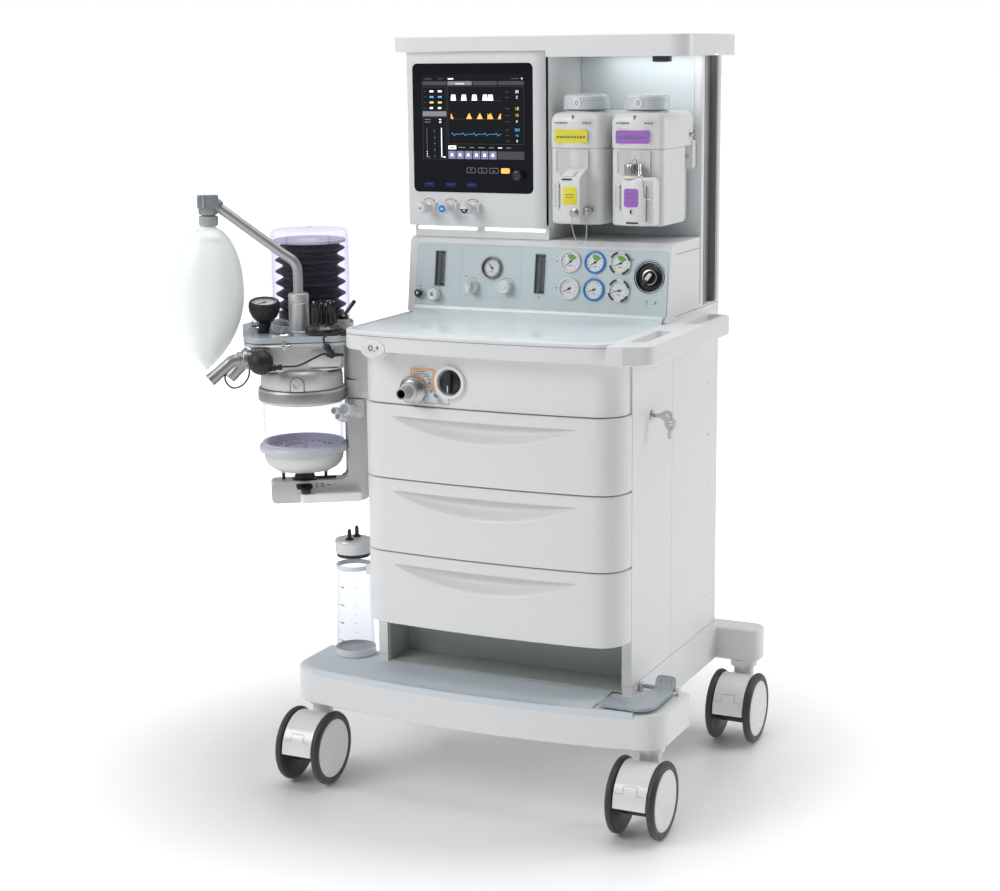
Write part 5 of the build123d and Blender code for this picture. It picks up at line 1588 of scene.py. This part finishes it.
def build_arm_fittings():
    bm = bmesh.new()
    foot = arm_up(-165, 2)
    add_lathe(bm, foot, [(14, 840.4), (14, 843), (11.5, 845), (11.5, 858), (0, 858)], 48)
    bowl = plane_frame(arm_point(-165, 2, 877), -ARM_V * 0.20 + UP * 0.98, ARM_U)
    add_lathe(bm, bowl, [(0, -19), (9, -18.5), (17, -14), (23.5, -6), (27.4, 3),
        (28.8, 11), (28.2, 18), (26.6, 21.4), (24.6, 22.6, 2), (23.4, 22.2), (22.8, 18.4, 1),
        (0, 18.4)], 72)
    for k in range(21):
        angle = math.radians(230 - 14 * k)
        tick = bowl @ Matrix.Rotation(angle, 4, "Z") @ moved(19.2, 0)
        add_slab(bm, tick, rounded(4 if k % 5 == 0 else 2.4, 0.5, 0.2), 18.3, 18.8)
    add_slab(bm, bowl @ spun(215),
        [(-5, -1), (15, -0.3), (15, 0.3), (-5, 1)], 19, 19.7)
    add_lathe(bm, bowl, [(2.6, 18.4), (2.6, 20.2), (0, 20.6)], 20, material=2)
    finish_piece("airway_manometer", bm, "breathing_arm", ["rubber", "gauge_face", "dark_bezel"],
        replaces=["manometer"])

    bm = bmesh.new()
    discs = bmesh.new()
    for u, v, size in ((-137, -46, 21), (-178, 56, 13.5)):
        place = arm_up(u, v)
        add_lathe(discs, place, [(size + 1.6, 840.2), (size + 1.6, 843.6), (size + 0.4, 844.8),
            (size - 2.4, 844.8), (size - 3, 842), (0, 842)], 56)
        add_lathe(discs, place, [(size * 0.62, 846), (size * 0.62, 847.6), (0, 848)], 40, material=1)
        for k in range(3):
            post = arm_up(u, v) @ spun(30 + 120 * k) @ moved(size * 0.7, 0, 842)
            add_lathe(discs, post, [(1.3, 0), (1.3, 12), (0, 12.6)], 12)
        add_lathe(bm, place, [(size, 844.6), (size, 852), (size - 1, 857), (size * 0.8, 863.4),
            (size * 0.5, 868.6), (0, 871.4), (0, 869.6), (size * 0.5 - 0.6, 866.8),
            (size * 0.8 - 1.4, 861.8), (size - 2.6, 856), (size - 1.8, 852), (size - 1.8, 844.6)], 56)
    finish_piece("dome_covers", bm, "breathing_arm", ["clear_jar"], replaces=["valve_domes"])
    finish_piece("dome_discs", discs, "breathing_arm", ["nickel", "dark_bezel"])

    bm = bmesh.new()
    place = arm_up(-60, -38)
    add_lathe(bm, place, [(0, 829), (5, 829), (5, 840.8), (31, 840.8), (31.4, 841.4)], 48)
    add_ribbed(bm, place, [(31, 841, 0), (33.4, 841.8, 0.5), (34, 843.4, 1), (33.6, 849.4, 1),
        (32.4, 851.6, 0.3), (27, 855.4, 0), (22, 858.4, 0), (19.6, 860, 0)], 40, 1.3, 0, 240)
    add_ribbed(bm, place, [(19.6, 858, 0), (22, 860, 0.6), (22.2, 864, 1), (21.4, 889, 1),
        (20.4, 895.5, 0.7), (18, 898.2, 0.2), (15, 898.8, 0), (14.4, 897.6, 0)], 14, 5.0, 0, 252)
    add_lathe(bm, place, [(14.6, 897.6), (6, 898.2), (0, 898.4)], 40)
    for k in range(0, 14, 2):
        rib = place @ Matrix.Rotation(2 * math.pi * k / 14, 4, "Z") @ moved(19.4, 0)
        add_slab(bm, rib, rounded(2.4, 1.2, 0.4), 897.8, 899, 0.3, 1)
    finish_piece("apl_grip", bm, "apl_knob", ["gloss_black", "white_mark"],
        replaces=["apl_knob"])
    bm = bmesh.new()
    hub = arm_up(-22, 1)
    add_lathe(bm, hub, [(0, 851), (2.8, 851), (2.8, 861.6), (9.4, 861.6), (10, 862.6),
        (9.6, 867.6), (7, 869.8), (0, 870)], 36)
    stick = arm_towards((-22, 1, 866), (-2, 1, 892))
    add_lathe(bm, stick, [(2.8, 0), (3.2, 10), (3.9, 27), (3.7, 34), (2.4, 36),
        (0, 36.4)], 24)
    finish_piece("bag_vent_stick", bm, "bag_vent_lever", ["gloss_black"],
        replaces=["bag_vent_lever"])

    bm = bmesh.new()
    sensor = arm_point(-176, -86, 799)
    add_ball(bm, plane_frame(sensor, UP), 22.5)
    add_lathe(bm, arm_towards((-172, -68, 800), (-168, -50, 802)), [(13, -6), (13, 14), (0, 14)], 32)
    add_lathe(bm, arm_towards((-158, -94, 789), (-134, -86, 790)),
        [(6, -3), (6, 8), (4.4, 9), (4.4, 14), (5.4, 15), (5.4, 19), (2.4, 21),
        (0, 21.2)], 24)
    cable = smooth_path([(-137, -87, 790), (-110, -86, 791), (-84, -78, 801), (-66, -73, 808),
        (-56, -72, 808)], 9)
    add_tube(bm, arm_up(0, 0), cable, 1.7, 10)
    add_lathe(bm, arm_towards((-58, -72, 807), (-28, -72, 806)),
        [(2.6, -1), (4.8, 2), (4.8, 12), (3.6, 13), (2.4, 30), (0, 30)], 20)
    add_lathe(bm, arm_towards((-46, -75, 803), (-62, -78, 829)),
        [(5, 0), (6.6, 2), (6.6, 12), (5.4, 13), (5.4, 17), (6.2, 18), (6.2, 25),
        (3, 28), (0, 28.4)], 24)
    cable = smooth_path([(-62, -78, 829), (-62, -82, 840), (-48, -84, 847), (-32, -80, 848),
        (-22, -73, 847)], 9)
    add_tube(bm, arm_up(0, 0), cable, 1.7, 10)
    add_lathe(bm, arm_towards((-30, -76, 847), (-8, -66, 845)),
        [(3, -4), (6.4, 0), (6.4, 7), (4, 9), (0, 9)], 24)
    loop = smooth_path([(-196, -62, 786), (-199, -70, 770), (-212, -70, 755), (-229, -66, 752),
        (-240, -62, 766), (-236, -58, 784)], 9)
    add_tube(bm, arm_up(0, 0), loop, 1.6, 10)
    finish_piece("sensor_and_lead", bm, "breathing_arm", ["rubber"])


def build_canister():
    place = arm_up(*CANISTER)
    bm = bmesh.new()
    add_lathe(bm, place, [(72.2, 638.5), (74.6, 638.5), (75, 640), (75, 713.4), (72.2, 713.4)], 128,
        closed=True)
    finish_piece("canister_glass", bm, "canister", ["clear_pale"],
        replaces=["absorber_canister"])
    bm = bmesh.new()
    add_lathe(bm, place, [(27, 584.2), (41, 584.4), (52, 586.6), (62, 592), (68.6, 599.2),
        (72, 607), (73.2, 616), (73, 620.4), (70, 620.4), (69, 608), (60, 596),
        (40, 588), (27, 587.5)], 128, closed=True)
    add_lathe(bm, place, [(72.6, 619.6, 1), (78.6, 620.4), (81.4, 623), (80.8, 625),
        (81.6, 627.4), (80.8, 632), (77.6, 635), (74.6, 635.6), (74.6, 638.4),
        (70.6, 638.6), (69.6, 637), (69, 626), (67.6, 625, 2), (44, 624.4), (42, 628),
        (36, 628.6), (35, 625), (6, 624.6), (5, 629), (0, 629.6)], 128)
    for ring, count in ((53, 26), (60, 30)):
        for k in range(count):
            angle = 2 * math.pi * k / count
            hole = arm_up(*CANISTER) @ moved(ring * math.cos(angle), ring * math.sin(angle))
            add_lathe(bm, hole, [(1.7, 624.4), (1.7, 625.4), (0, 625.5)], 8, material=3)
    for u in (-140, -62):
        add_lathe(bm, arm_up(u, 0), [(0, 549, 3), (3, 549), (3, 578), (5, 579, 0), (5, 590),
            (3, 596), (0, 596)], 24)
    finish_piece("canister_foot", bm, "canister", ["cast", "ring_milky", "disc_violet", "black"],
        replaces=["canister_base"])

    bm = bmesh.new()
    front = arm_front(0, 0, 0)
    shape = round_corners([(-163, 525, 7), (18, 525, 16), (18, 715.5, 4), (-20, 715.5, 4), (-20, 566, 12),
        (-163, 566, 7)])
    add_slab(bm, front, shape, -20, 22, 3, 0, 3)
    add_slab(bm, front, rounded(34, 276, 4, -5, 683.3), -40, -19, 2.5)
    add_slab(bm, arm_up(0, 0), rounded(18, 34, 8, -101, -36), 548, 556, 2, 1)
    add_slab(bm, arm_front(-104, -22, 555), round_corners([(-12, -5, 2), (16, -5, 5), (16, 6, 5),
        (-16, 6, 5)]), -0.5, 0.5, 0, 1)
    for u in (-80, -70):
        add_ring(bm, arm_front(u, -22, 557), rounded(5, 7, 1.4), rounded(3, 5, 0.8), -0.5, 0.5, 1)
    add_slab(bm, arm_front(-58, -22, 557), rounded(6, 1.4, 0.5), -0.5, 0.5, 0, 1)
    add_lathe(bm, place, [(24, 565.6), (24, 567.4), (21, 568), (19.6, 569), (14.6, 586),
        (0, 586)], 56, material=1)
    add_slab(bm, arm_up(-66, 0), rounded(46, 7, 3), 565.6, 569, 1, 1)
    add_lathe(bm, arm_up(-101, -44), [(3.8, 533), (3.8, 552)], 20, material=2)
    finish_piece("arm_bracket", bm, "breathing_arm", ["bracket", "black", "nickel"],
        replaces=["swing_bracket"])
    bm = bmesh.new()
    # the handle takes the whiter painted-light copy of the gloss white
    grip = round_corners([(-112, -52.5, 8), (1, -51.5, 5), (2, -38, 5), (-96, -37, 6), (-110, -35, 7)])
    add_slab(bm, arm_up(0, 0), grip, 530.4, 546.4, 5, 0, 4)
    finish_piece("canister_handle", bm, "canister_lever", ["grip_white_painted_light"],
        replaces=["canister_lever"])

    bm = bmesh.new()
    for start, end, size, length in (((-14, -36, 698), (-29, -62, 705), 11, 29),
            ((-38, -46, 698), (-48, -62, 703), 7, 18), ((-32, -46, 686), (-41, -62, 692), 7, 18)):
        add_lathe(bm, arm_towards(start, end), [(0, -12), (size - 1, -12), (size, -8),
            (size, length - 1), (size - 0.8, length), (size - 2, length),
            (size - 2.4, length - 3, 1), (0, length - 3.4)], 44)
    add_tube(bm, arm_up(0, 0), [(4, -20, 694), (-8, -28, 696), (-20, -38, 697), (-36, -46, 694)], 8.5, 20)
    add_slab(bm, arm_front(0, -20, 698), rounded(20, 34, 6), -1, 6, 2)
    finish_piece("hose_ports", bm, "breathing_arm", ["shell_gloss", "port_grey"])

    bm = bmesh.new()
    wall = -223.5
    hood = [(wall, -177.2), (-276, -177.2)] + [(-276 + 18 * math.cos(math.radians(a)),
        -195 + 18 * math.sin(math.radians(a))) for a in range(105, 270, 15)] + [(-276, -212.8),
        (wall, -212.8)]
    add_slab(bm, up_frame(0, 0), hood, 752, 820.5, 2.4)
    add_slab(bm, up_frame(0, 0), hood, 717.2, 733, 2.0)
    add_lathe(bm, up_frame(*PIVOT), [(18.6, 716.6), (19.6, 718), (20.6, 734), (21, 736),
        (21, 748.6), (20, 750.4, 1), (17.6, 750.8), (17.6, 752), (0, 752)])
    add_slab(bm, up_frame(0, 0), [(wall, -178.2), (-276, -178.2), (-276, -211.8), (wall, -211.8)], 733,
        752.2)
    add_lathe(bm, up_frame(*PIVOT), [(11.6, 602), (11.6, 718), (0, 718)], 32, material=2)
    finish_piece("pivot_hood", bm, "chassis", ["shell", "seam", "steel"],
        replaces=["pivot_cover"])


def build_bag_arm():
    bm = bmesh.new()
    path = [Vector((-102.7, -2, z)) for z in (864, 885, 905, 925, 944)]
    start, upper, end = Vector((-102.7, -2, 946)), Vector((-135, -2, 988)), Vector((-259, -2, 1084))
    slope = (end - upper).normalized()
    bend = []
    for k in range(13):
        t = k / 12
        reach = 26
        a, b, c, d = start, start + UP * reach, upper - slope * reach, upper
        bend.append((1 - t) ** 3 * a + 3 * t * (1 - t) ** 2 * b + 3 * t * t * (1 - t) * c + t**3 * d)
    path += bend + [upper + (end - upper) * k / 6 for k in range(1, 7)]
    add_tube(bm, arm_up(0, 0), path, 9, 40)
    block = arm_up(-259, -2)
    add_slab(bm, block, round_corners([(-19, -15, 4), (5, -17, 4), (19, -17, 5), (19, 15, 5),
        (-19, 15, 5)]), 1068, 1091, 2.2, 1, 3)
    add_slab(bm, block @ moved(-8, -2), rounded(3, 32, 1), 1070, 1091.6, 0.8, 2)
    add_lathe(bm, block, [(17, 1070), (17.4, 1060), (16, 1056.6), (12.4, 1055.6),
        (12.4, 1053)], 56, material=1)
    add_lathe(bm, arm_towards((-256, -2, 1081.7), (-235, -2, 1065.4)),
        [(11.6, 0), (12.4, 14), (12.2, 21), (11, 23), (9.2, 23.4)], 48, material=1)
    add_ribbed(bm, block, [(12, 1054, 0), (16.4, 1053.6, 0.2), (17.4, 1052, 1), (17.4, 1040, 1),
        (16.4, 1037, 0.3), (14, 1036, 0), (10, 1035.6, 0)], 30, 0.8, 2, 180)
    finish_piece("bag_arm_tube", bm, "bag_arm", ["brushed_tube", "elbow_grey", "port_grey"],
        replaces=["bag_arm"])


build_manifold()
build_bellows_unit()
build_arm_fittings()
build_canister()
build_bag_arm()


# ------------------------------------------------------------------ breathing bag, blown up as cloth
def inflate(bm, pinned, cap, steps=20, pressure=4.0):
    """Cloth simulation with inner pressure on a closed bmesh; no point moves more than cap, in mm."""
    mesh = bpy.data.meshes.new("inflating")
    bm.to_mesh(mesh)
    holder = bpy.data.objects.new("inflating", mesh)
    bpy.context.scene.collection.objects.link(holder)
    group = holder.vertex_groups.new(name="pinned")
    group.add([v.index for v in mesh.vertices if pinned(v.co)], 1.0, "REPLACE")
    cloth = holder.modifiers.new("cloth", "CLOTH")
    rules = cloth.settings
    rules.quality, rules.mass = 6, 0.12
    rules.tension_stiffness = rules.compression_stiffness = 18
    rules.shear_stiffness, rules.bending_stiffness = 6, 0.6
    rules.use_pressure, rules.uniform_pressure_force = True, pressure
    rules.vertex_group_mass = "pinned"
    rules.effector_weights.gravity = 0
    cloth.collision_settings.use_collision = False
    cloth.point_cache.frame_start, cloth.point_cache.frame_end = 1, steps
    for frame_number in range(1, steps + 1):
        bpy.context.scene.frame_set(frame_number)
    blown = holder.evaluated_get(bpy.context.evaluated_depsgraph_get()).to_mesh()
    bm.verts.ensure_lookup_table()
    for old, new in zip(bm.verts, blown.vertices):
        move = new.co - old.co
        if move.length > cap * MM:
            move *= cap * MM / move.length
        old.co += move
    bpy.data.objects.remove(holder)
    bpy.context.scene.frame_set(1)


def build_bag():
    low, widest, high, half = 780.0, 905.0, 1033.0, 65.0
    place = arm_up(-261, -2)
    rows, around = 44, 60
    rings = []
    for row in range(rows + 1):
        z = low + (high - low) * row / rows
        if z > widest:
            share = (z - widest) / (high - widest)
            radius = 13.5 + (half - 13.5) * (1 - share**2.2) ** 0.62
        else:
            share = (widest - z) / (widest - low)
            radius = 5 + (half - 5) * (1 - share**1.9) ** 0.82
        ring = []
        lean = 12 * (1 - row / rows) ** 1.5                            # it hangs a little to one side
        for k in range(around):
            angle = 2 * math.pi * k / around
            fold = abs(math.sin(2.5 * (angle + 0.35)))               # five gores meet in soft seams
            size = radius * (0.95 + 0.05 * fold**0.5)
            flat = 0.80 if 0.04 < row / rows < 0.93 else 0.92        # the bag is thinner than it is wide
            ring.append((size * math.cos(angle) - lean, size * flat * math.sin(angle), z))
        rings.append(ring)
    bm = bmesh.new()
    add_loft(bm, place, rings)
    inflate(bm, lambda point: point.z > (high - 7) * MM or point.z < (low + 4) * MM, 9)
    bmesh.ops.smooth_vert(bm, verts=bm.verts, factor=0.4, use_axis_x=True, use_axis_y=True, use_axis_z=True)
    bmesh.ops.subdivide_edges(bm, edges=bm.edges, cuts=1, use_grid_fill=True, smooth=0.6)
    add_lathe(bm, place, [(12, 1030), (15.6, 1029.6), (17, 1031.4), (16.6, 1033.6),
        (13.4, 1035), (12.6, 1038), (11.6, 1038)], 48)
    add_lathe(bm, place @ moved(-12, 0), [(0, 776.6), (4.6, 777), (6, 779),
        (5.4, 783), (4.6, 785)], 32)
    finish_piece("breathing_bag_skin", bm, "bag_arm", ["silicone"], 80,
        replaces=["breathing_bag"])


# ------------------------------------------------------------------ suction jar
JAR = (-287, -205)


def build_jar():
    place = up_frame(*JAR)
    bm = bmesh.new()
    add_lathe(bm, place, [(0, 233), (30, 232.6), (35, 234), (36.8, 238), (36.9, 243),
        (34, 330), (31, 405), (29.6, 412), (29.6, 421), (27.6, 421), (27.8, 411),
        (29, 404), (32, 330), (34.6, 243), (33.8, 239.6), (30, 237.6), (12, 239),
        (0, 240)], 96)
    finish_piece("suction_jar_glass", bm, "chassis", ["clear_jar"], replaces=["suction_jar"])
    bm = bmesh.new()
    add_lathe(bm, place, [(30.4, 416, 1), (31.6, 417), (31.6, 423), (33.4, 423.2, 0), (34, 424.4),
        (33.8, 440), (34.4, 441), (34.4, 445.6), (33, 447.8), (26, 448.6), (0, 448.8)],
        96)
    for y in (-219, -191):
        spot = up_frame(-287, y)
        barbs = [(0, 448), (7.4, 448), (7.8, 449), (7.4, 451.4), (4.4, 452.4)]
        for k in range(3):
            barbs += [(4.2, 453.6 + 4.4 * k), (3.0, 457.4 + 4.4 * k)]
        add_lathe(bm, spot, barbs + [(3, 468), (2.4, 469), (1.4, 469), (1.2, 460), (0, 460)], 28, material=1)
    add_lathe(bm, place, [(0, 225.2), (35, 225.2), (37.4, 226.4), (38.2, 230), (38.2, 239),
        (37.4, 239.6), (37, 231.4), (0, 231.4)], 72, material=2)
    add_ring(bm, place, oval(67, 67, steps=56), oval(62.6, 62.6, steps=56), 392, 400, 2)
    add_slab(bm, up_frame(-239, -205), rounded(30.6, 30, 3), 386, 406, 2, 2)
    finish_piece("suction_jar_lid", bm, "chassis", ["lid_silver", "black", "shell_gloss"])
    bm = bmesh.new()
    for k in range(9):
        z = 258 + 17 * k
        radius = 36.6 - (z - 243) * 0.0345
        for start, reach in ((-118, 9 if k % 2 == 0 else 5), (-62, 5)):
            add_sector(bm, place @ moved(0, 0, z), radius - 0.2, radius + 0.35, start,
                start + reach, 0, 0.8, 0, 5)
        if k % 2 == 0:
            spot = arm_free_front(place, radius, -103, z)
            add_digits(bm, spot, str(200 + 100 * k), 5, 0, 0.2)
    finish_piece("suction_jar_scale", bm, "chassis", ["grey_mark"])
    bm = bmesh.new()
    path = smooth_path([(-287, -191, 455), (-287, -191, 468), (-280, -187, 486), (-256, -176, 506),
        (-238, -167, 532), (-232.5, -163, 580), (-232.5, -163, 640), (-232.5, -166, 690),
        (-234, -180, 722)], 12)
    add_tube(bm, up_frame(0, 0), path, 4.6, 20, 0, 1.2)
    finish_piece("suction_tube", bm, "chassis", ["clear_jar"])


def arm_free_front(place, radius, angle, z):
    """Frame on the jar's side at an angle in degrees round it, facing outwards."""
    a = math.radians(angle)
    outward = Vector((math.cos(a), math.sin(a), 0))
    origin = place @ Vector((radius * math.cos(a), radius * math.sin(a), z))
    return plane_frame(origin, outward, (-math.sin(a), math.cos(a), 0))


# ------------------------------------------------------------------ back and sides
def build_back():
    y = 226
    bm = bmesh.new()

    def back(x, z, lift=0.0):
        return plane_frame((x * MM, (y + lift) * MM, z * MM), (0, 1, 0), (-1, 0, 0))

    strip = [(-239.4, y - 7), (-221.2, y - 7), (-221.2, y), (-239.4, y)]
    add_slab(bm, up_frame(0, 0), strip, 863.5, 1321.5, 1.4)
    add_slab(bm, back(-120, 330), rounded(168, 96, 8), -0.5, 2, 0.8)
    add_ring(bm, back(-160, 330, 2), rounded(50, 40, 5), rounded(31, 22, 4), -0.5, 3.6, 1)
    add_slab(bm, back(-160, 330, 2), rounded(31, 22, 4), -0.4, 0.2, 0, 2)
    for x, z in ((-8, 2), (8, 2), (0, -5)):
        add_slab(bm, back(-160 + x, 330 + z, 2), rounded(1.8, 5, 0.5), 0, 3, 0.3, 3)
    for x in (-108, -84):
        add_lathe(bm, back(x, 344, 2), [(8, -0.5), (8, 4), (6.8, 5), (0, 5)], 32, material=1)
        add_slab(bm, back(x, 344, 2), rounded(9, 1.4, 0.5), 4.8, 5.3, 0, 2)
    add_slab(bm, back(-96, 312, 2), rounded(26, 15, 2), -0.5, 2.6, 0.8, 1)
    add_slab(bm, back(-96, 312, 2) @ Matrix.Rotation(math.radians(9), 4, "Y"), rounded(21, 11, 1.5), 1, 4.6,
        0.8, 2)
    for k, tone in enumerate((4, 5, 2)):
        x = 20 + 52 * k
        spot = back(x, 330)
        add_slab(bm, spot, rounded(42, 60, 8), -0.5, 2.6, 1)
        add_lathe(bm, spot, [(15.4, 2, tone), (15.4, 5.4), (13, 6.4), (12, 6.4, 3), (12, 12),
            (10.4, 13), (10.4, 17), (11.6, 18), (11.6, 22), (8.4, 24), (7.4, 24),
            (6, 16, 2), (0, 16)], 40)
    add_lathe(bm, back(176, 330), [(25, -0.5, 1), (25, 3), (18, 4), (17.4, 20), (18.4, 21),
        (18.4, 24), (15.4, 24.6), (15, 8, 2), (0, 8)], 48)
    for z in (860, 1010):
        add_slab(bm, back(20, z), rounded(300, 1.2, 0.4), -0.2, 0.3, 0, 6)
    panel = back(-150, 1090)
    add_slab(bm, panel, rounded(96, 66, 6), -0.5, 2, 0.8)
    for k in range(3):
        add_ring(bm, panel @ moved(-30 + 30 * k, 10), rounded(19, 17, 2),
            rounded(15, 13, 1), 1.5, 3.4, 1)
        add_slab(bm, panel @ moved(-30 + 30 * k, 10), rounded(15, 13, 1), 1.6, 2.2, 0, 2)
    add_ring(bm, panel @ moved(0, -17), rounded(34, 13, 5), rounded(28, 8, 3), 1.5, 3.6, 3)
    add_slab(bm, panel @ moved(0, -17), rounded(28, 8, 3), 1.6, 2.4, 0, 2)
    for x in (-24, 24):
        add_lathe(bm, panel @ moved(x, -17), [(2.8, 1.5), (2.8, 4.4), (0, 4.6)],
            12, material=3)
    add_lathe(bm, back(-206, 285), [(6, -0.5), (6, 2), (3, 2.4), (3, 12), (0, 12.4)], 24, material=3)
    for x in (-60, 100):
        hook = back(x, 560)
        add_slab(bm, hook, rounded(40, 60, 8), -0.5, 3, 1.2)
        add_slab(bm, hook @ moved(0, -8), rounded(16, 16, 4), 2, 34, 2)
        add_slab(bm, hook @ moved(0, 4), rounded(16, 46, 5), 30, 37, 2.4, 0, 3)
    finish_piece("back_connections", bm, "chassis", ["shell_gloss", "dark_bezel", "black", "nickel",
        "white_mark", "gauge_blue", "seam"])


def build_side_seams():
    bm = bmesh.new()
    for x, sign in ((280, 1), (-240, -1)):
        for z, y0, y1 in ((869, -20, 220), (980, -18, 108)):
            line = plane_frame((x * MM, (y0 + y1) / 2 * MM, z * MM), (sign, 0, 0), (0, 1, 0))
            add_slab(bm, line, rounded(y1 - y0, 1, 0.3), -0.3, 0.25)
    for z in (420, 640):
        line = plane_frame((-0.2232, 0.10, z * MM), (-1, 0, 0), (0, 1, 0))
        for k in range(6):
            add_slab(bm, line @ moved(0, 9 * k), rounded(110, 3, 1.4), -0.3, 0.35, 0, 1)
    finish_piece("side_seams", bm, "chassis", ["seam", "dark_bezel"])


build_bag()
build_jar()
build_back()
build_side_seams()
